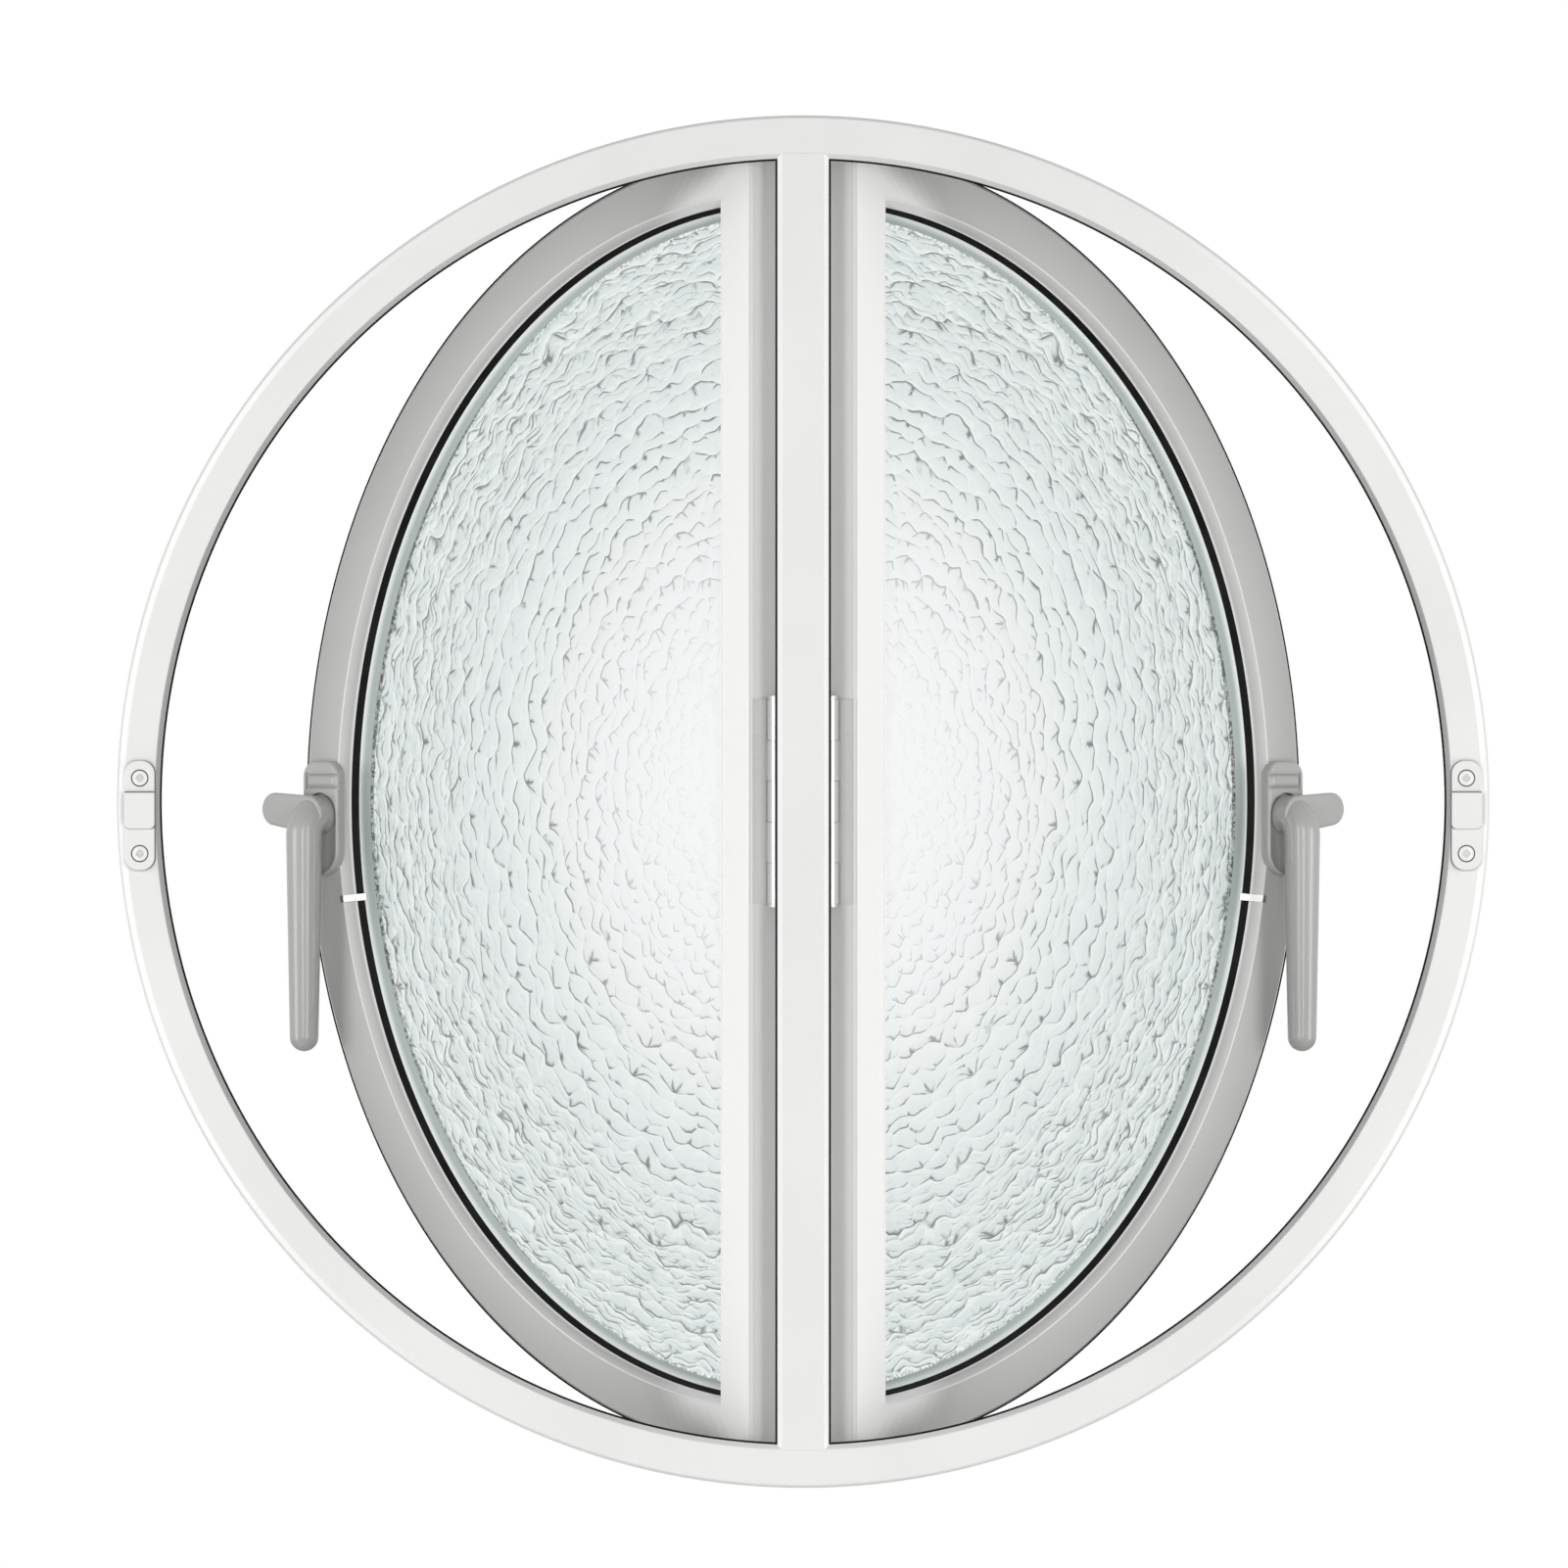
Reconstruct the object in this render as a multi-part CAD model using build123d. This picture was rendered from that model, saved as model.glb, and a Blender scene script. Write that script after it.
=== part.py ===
from build123d import *
import os

# Round window of painted aluminium: a ring frame with a centre mullion and two half-round sashes.
# Both sashes hang on the mullion and stand open to the outside, with obscure glass and lever handles.
# Units are mm. +X is right and +Z up as seen from the room, +Y points to the outside.
# The origin is the ring's centre, on the plane where the wall flange rests on the wall.

# Ring frame
FLANGE_RADIUS = 400.0
FLANGE_THICKNESS = 6.0
FLANGE_OVERHANG = 8.0
BODY_WALL = 7.0
FRAME_DEPTH = 38.0
LIP_WIDTH = 25.0
LIP_DEPTH = 15.0
FLANGE_ROUNDING = 1.5
LIP_BEVEL = 3.0

# Mullion
MULLION_WIDTH = 30.0
MULLION_DEPTH = 27.0
MULLION_BEVEL = 2.5
MULLION_GROOVE_WIDTH = 10.0
MULLION_GROOVE_DEPTH = 3.0

# Black seal round each opening of the frame
SEAL_THICKNESS = 1.2
SEAL_DEPTH = 7.0
SEAL_OVERLAP = 5.0
SEAL_LAP_THICKNESS = 1.6

# Sash, measured closed
OPEN_ANGLE = 43.7
SASH_RIM_GAP = 5.0
SASH_LIP_GAP = 2.0
SASH_THICKNESS = 25.0
SASH_FACE_WIDTH = 25.2
SASH_CHAMFER = 2.2
STILE_SETBACK = 6.5
STILE_FACE_WIDTH = 22.9
SASH_OUTER_LIP_WIDTH = 10.0
SASH_OUTER_LIP_THICKNESS = 5.5
SASH_OUTER_LIP_SLOPE = 2.0

# Glazing
BEAD_WIDTH = 4.5
BEAD_SLOPE_DEPTH = 7.0
BEAD_FOOT = 1.5
GASKET_WIDTH = 3.0
GASKET_LAP = 3.5
GASKET_THICKNESS = 3.0
GLASS_THICKNESS = 5.0
GLASS_EDGE_GAP = 1.0

# Hinge
HINGE_AXIS_OFFSET = 2.0
HINGE_AXIS_CLEARANCE = 0.9
HINGE_LENGTH = 119.0
HINGE_LEAF_THICKNESS = 1.5
HINGE_LEAF_GAP = 0.3
HINGE_BARREL_RADIUS = 4.0
HINGE_KNUCKLES = 5
HINGE_KNUCKLE_GAP = 0.3
HINGE_PIN_RADIUS = 2.0
HINGE_PIN_GAP = 0.1
HINGE_PIN_HEAD_RADIUS = 3.2
HINGE_PIN_HEAD_HEIGHT = 2.0

# Handle, with heights measured from the sash's face towards the room
HANDLE_INSET = 16.8
BACKPLATE_WIDTH = 28.0
BACKPLATE_TOP = 23.6
BACKPLATE_BOTTOM = -43.0
BACKPLATE_THICKNESS = 6.2
BACKPLATE_CORNER = 9.0
BACKPLATE_ROUNDING = 2.0
POCKET_RIM = 1.3
POCKET_DEPTH = 3.7
TAB_SETBACK = 3.2
TAB_HEIGHT = 8.9
TAB_CENTRE = 12.0
TAB_RISE = 0.9
TAB_CORNER = 2.0
TAB_ROUNDING = 3.6
TAB_GAP = 0.5
TAB_GAP_DEPTH = 1.2
PIVOT_HEIGHT = -7.4
NECK_RADIUS = 10.9
NECK_GAP = 0.3
LEVER_RADIUS = 10.6
LEVER_STAND_OFF = 19.2
LEVER_LENGTH = 138.1
LEVER_TIP_RADIUS = 8.45
NOSE_REACH = 36.8
NOSE_TIP_RADIUS = 9.5
NOSE_TILT = 6.5
NOSE_THICKNESS = 6.0
NOSE_STAND_OFF = 11.0
NOSE_ROUNDING = 1.5

# Strike plate on the ring
STRIKE_INSET = 13.3
STRIKE_WIDTH = 18.7
STRIKE_TOP = 24.4
STRIKE_BOTTOM = -40.5
STRIKE_THICKNESS = 3.0
STRIKE_CORNER = 8.0
WEDGE_TOP = 6.0
WEDGE_BOTTOM = -16.4
WEDGE_RISE = 2.2
WEDGE_LOW_RISE = 1.2
WEDGE_CORNER = 3.5

# Spring clip over the glazing bead
CLIP_ANGLE = 9.2
CLIP_HEIGHT = 4.0
CLIP_THICKNESS = 0.8
CLIP_HOOK = 1.6
CLIP_SEAT_GAP = 0.2

# Places that follow from the sizes above
FRONT_Y = -FLANGE_THICKNESS
BODY_RADIUS = FLANGE_RADIUS - FLANGE_OVERHANG
LIP_RADIUS = FLANGE_RADIUS - LIP_WIDTH
LIP_BACK_Y = FRONT_Y + LIP_DEPTH
REBATE_RADIUS = BODY_RADIUS - BODY_WALL
MULLION_SIDE_X = MULLION_WIDTH / 2
MULLION_BACK_Y = FRONT_Y + MULLION_DEPTH
SASH_RADIUS = REBATE_RADIUS - SASH_RIM_GAP
SASH_FACE_Y = LIP_BACK_Y + SASH_LIP_GAP
STILE_SIDE_X = MULLION_SIDE_X + STILE_SETBACK
STILE_ORIGIN_X = STILE_SIDE_X + STILE_FACE_WIDTH - SASH_FACE_WIDTH
HINGE_X = MULLION_SIDE_X + HINGE_AXIS_OFFSET
HINGE_Y = MULLION_BACK_Y + HINGE_BARREL_RADIUS + HINGE_AXIS_CLEARANCE
HINGE_LEAF_WIDTH = HINGE_Y - LIP_BACK_Y - SEAL_LAP_THICKNESS - HINGE_LEAF_GAP
BEAD_INSET = SASH_FACE_WIDTH + BEAD_WIDTH
GASKET_INSET = BEAD_INSET + GASKET_WIDTH
BEAD_DEPTH = BEAD_SLOPE_DEPTH + BEAD_FOOT
GLASS_FRONT = BEAD_DEPTH + GASKET_THICKNESS
GLASS_BACK = GLASS_FRONT + GLASS_THICKNESS
OUTER_LIP_FRONT = SASH_THICKNESS - SASH_OUTER_LIP_THICKNESS
OUTER_LIP_INSET = SASH_FACE_WIDTH + SASH_OUTER_LIP_WIDTH
HANDLE_X = SASH_RADIUS - HANDLE_INSET
POCKET_WIDTH = BACKPLATE_WIDTH - 2 * POCKET_RIM
POCKET_TOP = PIVOT_HEIGHT + POCKET_WIDTH / 2
POCKET_FLOOR = BACKPLATE_THICKNESS - POCKET_DEPTH
TAB_WIDTH = BACKPLATE_WIDTH - TAB_SETBACK
NECK_TOP = BACKPLATE_THICKNESS + NECK_GAP
STRIKE_X = FLANGE_RADIUS - STRIKE_INSET
REACH = 2 * FLANGE_RADIUS


def half_disc(outline, radius, edge_x, face_y):
    """A half-round block whose round rim and straight edge both follow the outline of (inset, depth)."""
    first, last = outline[0], outline[-1]
    rim = [(radius - inset, face_y + depth) for inset, depth in outline]
    rim = [(0, face_y + first[1])] + rim + [(0, face_y + last[1])]
    side = [(edge_x + inset, face_y + depth) for inset, depth in outline]
    side = [(REACH, face_y + first[1])] + side + [(REACH, face_y + last[1])]
    disc = revolve(make_face(Polyline(*rim, close=True)), Axis.Y)
    block = extrude(make_face(Polyline(*side, close=True)), REACH, both=True)
    return disc & block


def sash_block(outline):
    """A half-round block in the closed sash, with the outline's depths counted from the sash's face."""
    return half_disc(outline, SASH_RADIUS, STILE_ORIGIN_X, SASH_FACE_Y)


def outer_frame():
    """The ring: wall flange, body in the wall opening, and the inner lip that the sashes close against."""
    section = Polyline(
        (FLANGE_RADIUS, FRONT_Y),
        (FLANGE_RADIUS, 0),
        (BODY_RADIUS, 0),
        (BODY_RADIUS, FRAME_DEPTH),
        (REBATE_RADIUS, FRAME_DEPTH),
        (REBATE_RADIUS, LIP_BACK_Y),
        (LIP_RADIUS, LIP_BACK_Y),
        (LIP_RADIUS, FRONT_Y + LIP_BEVEL),
        (LIP_RADIUS + LIP_BEVEL, FRONT_Y),
        close=True,
    )
    face = make_face(section)
    rim = face.vertices().sort_by(Axis.Y)[:2].sort_by(Axis.X)[-1]
    return revolve(fillet(rim, FLANGE_ROUNDING), Axis.Y)


def mullion():
    """The centre post, bevelled to the room and grooved at the back, its ends fitted to the ring's lip."""
    front = MULLION_SIDE_X - MULLION_BEVEL
    groove = MULLION_GROOVE_WIDTH / 2
    groove_y = MULLION_BACK_Y - MULLION_GROOVE_DEPTH
    half = [
        (front, FRONT_Y),
        (MULLION_SIDE_X, FRONT_Y + MULLION_BEVEL),
        (MULLION_SIDE_X, MULLION_BACK_Y),
        (groove, MULLION_BACK_Y),
        (groove, groove_y),
    ]
    other_half = [(-x, y) for x, y in reversed(half)]
    post = extrude(make_face(Polyline(*half, *other_half, close=True)), REACH, both=True)
    inside = Polyline(
        (0, FRONT_Y),
        (LIP_RADIUS + LIP_BEVEL, FRONT_Y),
        (LIP_RADIUS, FRONT_Y + LIP_BEVEL),
        (LIP_RADIUS, LIP_BACK_Y),
        (REBATE_RADIUS, LIP_BACK_Y),
        (REBATE_RADIUS, MULLION_BACK_Y),
        (0, MULLION_BACK_Y),
        close=True,
    )
    return post & revolve(make_face(inside), Axis.Y)


def frame_seal():
    """The seal on the lip and the mullion's side, with a lap on the back of the lip for the sash's rim."""
    start = LIP_DEPTH - SEAL_DEPTH
    outer = half_disc([(0, start), (0, LIP_DEPTH)], LIP_RADIUS, MULLION_SIDE_X, FRONT_Y)
    inner = half_disc(
        [(SEAL_THICKNESS, start), (SEAL_THICKNESS, LIP_DEPTH + SEAL_LAP_THICKNESS)],
        LIP_RADIUS,
        MULLION_SIDE_X,
        FRONT_Y,
    )
    lap_end = LIP_DEPTH + SEAL_LAP_THICKNESS
    lap = half_disc([(0, LIP_DEPTH), (0, lap_end)], LIP_RADIUS + SEAL_OVERLAP, MULLION_SIDE_X, FRONT_Y)
    return outer + lap - inner


def sash_frame():
    """The half-round sash: chamfered rim and stile, glazing rebate, and the outer lip behind the glass."""
    blank = sash_block([(SASH_CHAMFER, 0), (0, SASH_CHAMFER), (0, SASH_THICKNESS)])
    stile_side = Polyline(
        (STILE_SIDE_X + SASH_CHAMFER, SASH_FACE_Y),
        (REACH, SASH_FACE_Y),
        (REACH, SASH_FACE_Y + SASH_THICKNESS),
        (STILE_SIDE_X, SASH_FACE_Y + SASH_THICKNESS),
        (STILE_SIDE_X, SASH_FACE_Y + SASH_CHAMFER),
        close=True,
    )
    blank &= extrude(make_face(stile_side), REACH, both=True)
    rebate = sash_block([(SASH_FACE_WIDTH, 0), (SASH_FACE_WIDTH, OUTER_LIP_FRONT)])
    opening = sash_block(
        [
            (OUTER_LIP_INSET, OUTER_LIP_FRONT),
            (OUTER_LIP_INSET - SASH_OUTER_LIP_SLOPE, SASH_THICKNESS),
        ]
    )
    return blank - rebate - opening


def glazing_bead():
    """The bead that holds the glass from the room side, sloping from the sash's face to the gasket."""
    outer = sash_block([(SASH_FACE_WIDTH, 0), (SASH_FACE_WIDTH, BEAD_DEPTH)])
    inner = sash_block([(SASH_FACE_WIDTH, 0), (BEAD_INSET, BEAD_SLOPE_DEPTH), (BEAD_INSET, BEAD_DEPTH)])
    return outer - inner


def inner_gasket():
    """The black wedge gasket between the bead and the glass."""
    lap = BEAD_INSET - GASKET_LAP
    outer = sash_block([(lap, BEAD_DEPTH), (lap, GLASS_FRONT)])
    nib = sash_block([(BEAD_INSET, BEAD_SLOPE_DEPTH), (BEAD_INSET, BEAD_DEPTH)])
    inner = sash_block([(BEAD_INSET, BEAD_SLOPE_DEPTH), (GASKET_INSET, GLASS_FRONT)])
    return outer + nib - inner


def glass():
    """The half-round pane."""
    edge = SASH_FACE_WIDTH + GLASS_EDGE_GAP
    return sash_block([(edge, GLASS_FRONT), (edge, GLASS_BACK)])


def outer_gasket():
    """The white glazing tape between the glass and the sash's outer lip."""
    edge = SASH_FACE_WIDTH + GLASS_EDGE_GAP
    outer = sash_block([(edge, GLASS_BACK), (edge, OUTER_LIP_FRONT)])
    inner = sash_block([(OUTER_LIP_INSET, GLASS_BACK), (OUTER_LIP_INSET, OUTER_LIP_FRONT)])
    return outer - inner


def hinge_leaf(first_knuckle, leaf_x):
    """One hinge leaf with every second knuckle of the barrel, from the given one up."""
    pitch = HINGE_LENGTH / HINGE_KNUCKLES
    knuckle_length = pitch - HINGE_KNUCKLE_GAP
    leaf = Pos(leaf_x + HINGE_LEAF_THICKNESS / 2, HINGE_Y - HINGE_LEAF_WIDTH / 2, 0) * Box(
        HINGE_LEAF_THICKNESS, HINGE_LEAF_WIDTH, HINGE_LENGTH
    )
    relief = HINGE_BARREL_RADIUS + HINGE_KNUCKLE_GAP
    for index in range(HINGE_KNUCKLES):
        height = (index + 0.5) * pitch - HINGE_LENGTH / 2
        place = Pos(HINGE_X, HINGE_Y, height)
        if index % 2 == first_knuckle:
            leaf += place * Cylinder(HINGE_BARREL_RADIUS, knuckle_length)
        else:
            leaf -= place * Cylinder(relief, pitch + HINGE_KNUCKLE_GAP)
    bore = Pos(HINGE_X, HINGE_Y, 0) * Cylinder(HINGE_PIN_RADIUS + HINGE_PIN_GAP, HINGE_LENGTH)
    return leaf - bore


def hinge_frame_leaf():
    """The leaf on the mullion's side."""
    return hinge_leaf(0, MULLION_SIDE_X)


def hinge_sash_leaf():
    """The leaf on the stile's side."""
    return hinge_leaf(1, STILE_SIDE_X - HINGE_LEAF_THICKNESS)


def hinge_pin():
    """The pin through the barrel, with a button head at each end."""
    pin = Cylinder(HINGE_PIN_RADIUS, HINGE_LENGTH)
    head_place = (HINGE_LENGTH + HINGE_PIN_HEAD_HEIGHT) / 2
    for end in (-1, 1):
        head = Cylinder(HINGE_PIN_HEAD_RADIUS, HINGE_PIN_HEAD_HEIGHT)
        pin += Pos(0, 0, end * head_place) * head
    return Pos(HINGE_X, HINGE_Y, 0) * pin


def face_plane(stand_off):
    """A plane parallel to the closed sash's face, that far into the room, its X to the rim and Y up."""
    return Plane(
        origin=(HANDLE_X, SASH_FACE_Y - stand_off, 0),
        x_dir=(1, 0, 0),
        z_dir=(0, -1, 0),
    )


def rounded_plate(width, top, bottom, corner):
    """An upright rounded rectangle about the handle's line, from bottom to top."""
    return Pos(0, (top + bottom) / 2) * RectangleRounded(width, top - bottom, corner)


def slot(width, top, bottom):
    """An upright slot about the handle's line with full-round ends, from bottom to top."""
    return Pos(0, (top + bottom) / 2) * SlotOverall(top - bottom, width, rotation=90)


def handle_backplate():
    """The handle's base: a plate with a raised tab let in above a pocket for the lever's neck."""
    outline = rounded_plate(BACKPLATE_WIDTH, BACKPLATE_TOP, BACKPLATE_BOTTOM, BACKPLATE_CORNER)
    outline &= slot(BACKPLATE_WIDTH, BACKPLATE_TOP + BACKPLATE_WIDTH, BACKPLATE_BOTTOM)
    plate = extrude(face_plane(0) * outline, BACKPLATE_THICKNESS)
    plate = fillet(plate.faces().sort_by(Axis.Y)[0].edges(), BACKPLATE_ROUNDING)
    pocket_outline = slot(POCKET_WIDTH, POCKET_TOP, BACKPLATE_BOTTOM + POCKET_RIM)
    pocket = extrude(face_plane(BACKPLATE_THICKNESS) * pocket_outline, -POCKET_DEPTH)
    tab_place = Pos(-TAB_SETBACK / 2, TAB_CENTRE)
    tab_outline = tab_place * RectangleRounded(TAB_WIDTH, TAB_HEIGHT, TAB_CORNER)
    tab = extrude(face_plane(0) * tab_outline, BACKPLATE_THICKNESS + TAB_RISE)
    inner_end = tab.faces().sort_by(Axis.Y)[0].edges().filter_by(Axis.Z).sort_by(Axis.X)[0]
    gap_outline = tab_place * Rectangle(TAB_WIDTH + 2 * TAB_GAP, TAB_HEIGHT + 2 * TAB_GAP)
    gap = extrude(face_plane(BACKPLATE_THICKNESS) * gap_outline, -TAB_GAP_DEPTH)
    return plate - pocket - gap + fillet(inner_end, TAB_ROUNDING)


def handle_lever():
    """The cockspur: a round neck that bends down into a tapered grip, and the nose behind it."""
    bend = LEVER_STAND_OFF - NECK_TOP
    neck_outline = Pos(0, PIVOT_HEIGHT) * Circle(NECK_RADIUS)
    neck = extrude(face_plane(POCKET_FLOOR) * neck_outline, NECK_TOP - POCKET_FLOOR)
    bend_axis = Axis((0, SASH_FACE_Y - NECK_TOP, PIVOT_HEIGHT - bend), (1, 0, 0))
    elbow_outline = Pos(0, PIVOT_HEIGHT) * Circle(LEVER_RADIUS)
    elbow = revolve(face_plane(NECK_TOP) * elbow_outline, bend_axis, 90)
    grip_top = PIVOT_HEIGHT - bend
    grip_length = LEVER_LENGTH + grip_top - PIVOT_HEIGHT - LEVER_TIP_RADIUS
    grip_y = SASH_FACE_Y - LEVER_STAND_OFF
    grip_place = Pos(HANDLE_X, grip_y, grip_top - grip_length / 2)
    grip = grip_place * Cone(LEVER_TIP_RADIUS, LEVER_RADIUS, grip_length)
    tip = Pos(HANDLE_X, grip_y, grip_top - grip_length) * Sphere(LEVER_TIP_RADIUS)
    nose_tip = Pos(NOSE_REACH - NOSE_TIP_RADIUS, 0) * Circle(NOSE_TIP_RADIUS)
    nose_outline = make_hull(Circle(NECK_RADIUS).edges() + nose_tip.edges())
    nose_place = Pos(0, PIVOT_HEIGHT) * Rot(0, 0, NOSE_TILT)
    nose = extrude(face_plane(NOSE_STAND_OFF) * nose_place * nose_outline, NOSE_THICKNESS)
    nose = fillet(nose.faces().sort_by(Axis.Y)[0].edges(), NOSE_ROUNDING)
    return neck + elbow + grip + tip + nose


def strike_plate():
    """The plate on the ring that the nose turns behind, with its raised wedge."""
    face = Plane(origin=(STRIKE_X, FRONT_Y, 0), x_dir=(1, 0, 0), z_dir=(0, -1, 0))
    outline = rounded_plate(STRIKE_WIDTH, STRIKE_TOP, STRIKE_BOTTOM, STRIKE_CORNER)
    plate = extrude(face * outline, STRIKE_THICKNESS)
    wedge_outline = rounded_plate(STRIKE_WIDTH, WEDGE_TOP, WEDGE_BOTTOM, WEDGE_CORNER)
    wedge = extrude(face * wedge_outline, STRIKE_THICKNESS + WEDGE_RISE)
    plate_y = FRONT_Y - STRIKE_THICKNESS
    ramp = Polyline(
        (plate_y - WEDGE_RISE, WEDGE_TOP),
        (plate_y - WEDGE_LOW_RISE, WEDGE_BOTTOM),
        (FRONT_Y, WEDGE_BOTTOM),
        (FRONT_Y, WEDGE_TOP),
        close=True,
    )
    ramp_block = extrude(Plane.YZ.offset(STRIKE_X) * make_face(ramp), STRIKE_WIDTH, both=True)
    return plate + (wedge & ramp_block)


def glazing_clip():
    """A small spring clip hooked over the bead, down its slope and the gasket."""
    ridge = SASH_RADIUS - SASH_FACE_WIDTH - CLIP_SEAT_GAP
    foot = SASH_RADIUS - BEAD_INSET - CLIP_SEAT_GAP
    end = SASH_RADIUS - GASKET_INSET - CLIP_SEAT_GAP
    lower = [(ridge + CLIP_HOOK, 0), (ridge, 0), (foot, BEAD_SLOPE_DEPTH), (end, GLASS_FRONT)]
    upper = [(r - CLIP_THICKNESS, depth - CLIP_THICKNESS) for r, depth in lower[1:]]
    upper.insert(0, (ridge + CLIP_HOOK, -CLIP_THICKNESS))
    points = [(r, SASH_FACE_Y + depth) for r, depth in lower + upper[::-1]]
    strip = extrude(make_face(Polyline(*points, close=True)), CLIP_HEIGHT / 2, both=True)
    return strip.rotate(Axis.Y, CLIP_ANGLE)


def opened(piece):
    """The piece of a closed sash, swung out about the hinge pin."""
    return piece.rotate(Axis((HINGE_X, HINGE_Y, 0), (0, 0, 1)), OPEN_ANGLE)


def save(name, piece):
    """Writes one piece of the window."""
    export_step(piece, f"parts/{name}.step")


FIXED_PIECES = [frame_seal, hinge_frame_leaf, hinge_pin, strike_plate]
SASH_PIECES = [
    sash_frame,
    glazing_bead,
    inner_gasket,
    glass,
    outer_gasket,
    hinge_sash_leaf,
    handle_backplate,
    handle_lever,
    glazing_clip,
]

os.makedirs("parts", exist_ok=True)
save("outer_frame", outer_frame())
save("mullion", mullion())
right_side = {make.__name__: make() for make in FIXED_PIECES}
right_side.update({make.__name__: opened(make()) for make in SASH_PIECES})
for name, piece in right_side.items():
    save(f"right_{name}", piece)
    save(f"left_{name}", mirror(piece, about=Plane.YZ))
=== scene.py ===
"""Looks of the round window: finer meshes over its solids, paint, hammered glass, light and camera."""

import math

import bmesh
import bpy
from mathutils import Matrix, Vector, noise as pattern


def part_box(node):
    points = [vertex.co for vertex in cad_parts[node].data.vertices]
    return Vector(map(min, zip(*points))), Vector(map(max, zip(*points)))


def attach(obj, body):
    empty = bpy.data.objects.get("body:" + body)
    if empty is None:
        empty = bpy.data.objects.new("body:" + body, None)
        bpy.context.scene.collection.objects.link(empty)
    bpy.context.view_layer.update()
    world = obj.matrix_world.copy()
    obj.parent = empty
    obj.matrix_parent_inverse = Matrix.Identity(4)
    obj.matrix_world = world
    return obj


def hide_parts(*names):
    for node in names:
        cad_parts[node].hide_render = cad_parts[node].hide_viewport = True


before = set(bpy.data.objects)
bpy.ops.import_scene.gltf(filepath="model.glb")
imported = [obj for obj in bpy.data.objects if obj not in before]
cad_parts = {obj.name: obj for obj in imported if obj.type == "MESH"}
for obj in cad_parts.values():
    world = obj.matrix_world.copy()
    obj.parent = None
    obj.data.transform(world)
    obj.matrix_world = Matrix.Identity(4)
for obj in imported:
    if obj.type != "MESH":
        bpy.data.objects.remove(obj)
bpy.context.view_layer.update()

MM = 0.001
SIDES = {"right": 1, "left": -1}

# Places read from the solids
ring_low, ring_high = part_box("outer_frame")
_, post_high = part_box("mullion")
pin_low, pin_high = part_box("right_hinge_pin")
strike_low, strike_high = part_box("right_strike_plate")
FLANGE_RADIUS = ring_high.x
FRONT_Y = ring_low.y
FRAME_BACK_Y = ring_high.y
MULLION_SIDE_X = post_high.x
MULLION_BACK_Y = post_high.y
HINGE_X = (pin_low.x + pin_high.x) / 2
HINGE_Y = (pin_low.y + pin_high.y) / 2
STRIKE_X = (strike_low.x + strike_high.x) / 2
STRIKE_WIDTH = strike_high.x - strike_low.x
STRIKE_RISE = FRONT_Y - strike_low.y

# Ring and mullion sections
FLANGE_OVERHANG = 8 * MM
BODY_WALL = 7 * MM
LIP_WIDTH = 25 * MM
LIP_DEPTH = 15 * MM
FLANGE_ROUNDING = 1.5 * MM
RIM_BAND = 4.5 * MM
LIP_BEVEL = 3 * MM
LIP_EDGE = 0.4 * MM
MULLION_BEVEL = 2.5 * MM
MULLION_GROOVE_WIDTH = 10 * MM
MULLION_GROOVE_DEPTH = 3 * MM
BODY_RADIUS = FLANGE_RADIUS - FLANGE_OVERHANG
LIP_RADIUS = FLANGE_RADIUS - LIP_WIDTH
LIP_BACK_Y = FRONT_Y + LIP_DEPTH
REBATE_RADIUS = BODY_RADIUS - BODY_WALL
MULLION_FACE_X = MULLION_SIDE_X - MULLION_BEVEL

# Painted light of the ring: its own white on its faces, painted shade deeper on its lip at the sides, and a
# painted highlight in a band beside its rim there
FACE_SHADE = 0.25
LIP_SHADE = 0.32
SIDE_LIP_SHADE = 0.92
BAND_SIDEWAYS = (0.5, 0.9)

# Black seal of the frame
SEAL_THICKNESS = 1.2 * MM
SEAL_DEPTH = 7 * MM
SEAL_OVERLAP = 5 * MM
SEAL_LAP_THICKNESS = 1.6 * MM

# Sash and glazing sections, measured closed
OPEN_ANGLE = math.radians(43.7)
SASH_RIM_GAP = 5 * MM
SASH_LIP_GAP = 2 * MM
SASH_THICKNESS = 25 * MM
SASH_FACE_WIDTH = 25.2 * MM
SASH_CHAMFER = 2.2 * MM
STILE_SETBACK = 6.5 * MM
STILE_FACE_WIDTH = 22.9 * MM
OUTER_LIP_WIDTH = 10 * MM
OUTER_LIP_THICKNESS = 5.5 * MM
OUTER_LIP_SLOPE = 2 * MM
BEAD_WIDTH = 4.5 * MM
BEAD_SLOPE_DEPTH = 7 * MM
BEAD_FOOT = 1.5 * MM
BEAD_EDGE_SHARE = 0.25
RIDGE_RISE = 0.4 * MM
RIDGE_WIDTH = 1.0 * MM
GASKET_WIDTH = 3 * MM
GASKET_LAP = 3.5 * MM
GASKET_THICKNESS = 3 * MM
GLASS_THICKNESS = 5 * MM
GLASS_EDGE_GAP = 1 * MM
SASH_RADIUS = REBATE_RADIUS - SASH_RIM_GAP
SASH_FACE_Y = LIP_BACK_Y + SASH_LIP_GAP
STILE_SIDE_X = MULLION_SIDE_X + STILE_SETBACK
STILE_TRIM = SASH_FACE_WIDTH - STILE_FACE_WIDTH
STILE_ORIGIN_X = STILE_SIDE_X - STILE_TRIM
BEAD_INSET = SASH_FACE_WIDTH + BEAD_WIDTH
BEAD_EDGE_INSET = BEAD_INSET - BEAD_EDGE_SHARE * (BEAD_WIDTH - RIDGE_WIDTH)
RIDGE_INSET = SASH_FACE_WIDTH + RIDGE_WIDTH
GASKET_INSET = BEAD_INSET + GASKET_WIDTH
BEAD_DEPTH = BEAD_SLOPE_DEPTH + BEAD_FOOT
GLASS_FRONT = BEAD_DEPTH + GASKET_THICKNESS
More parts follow.
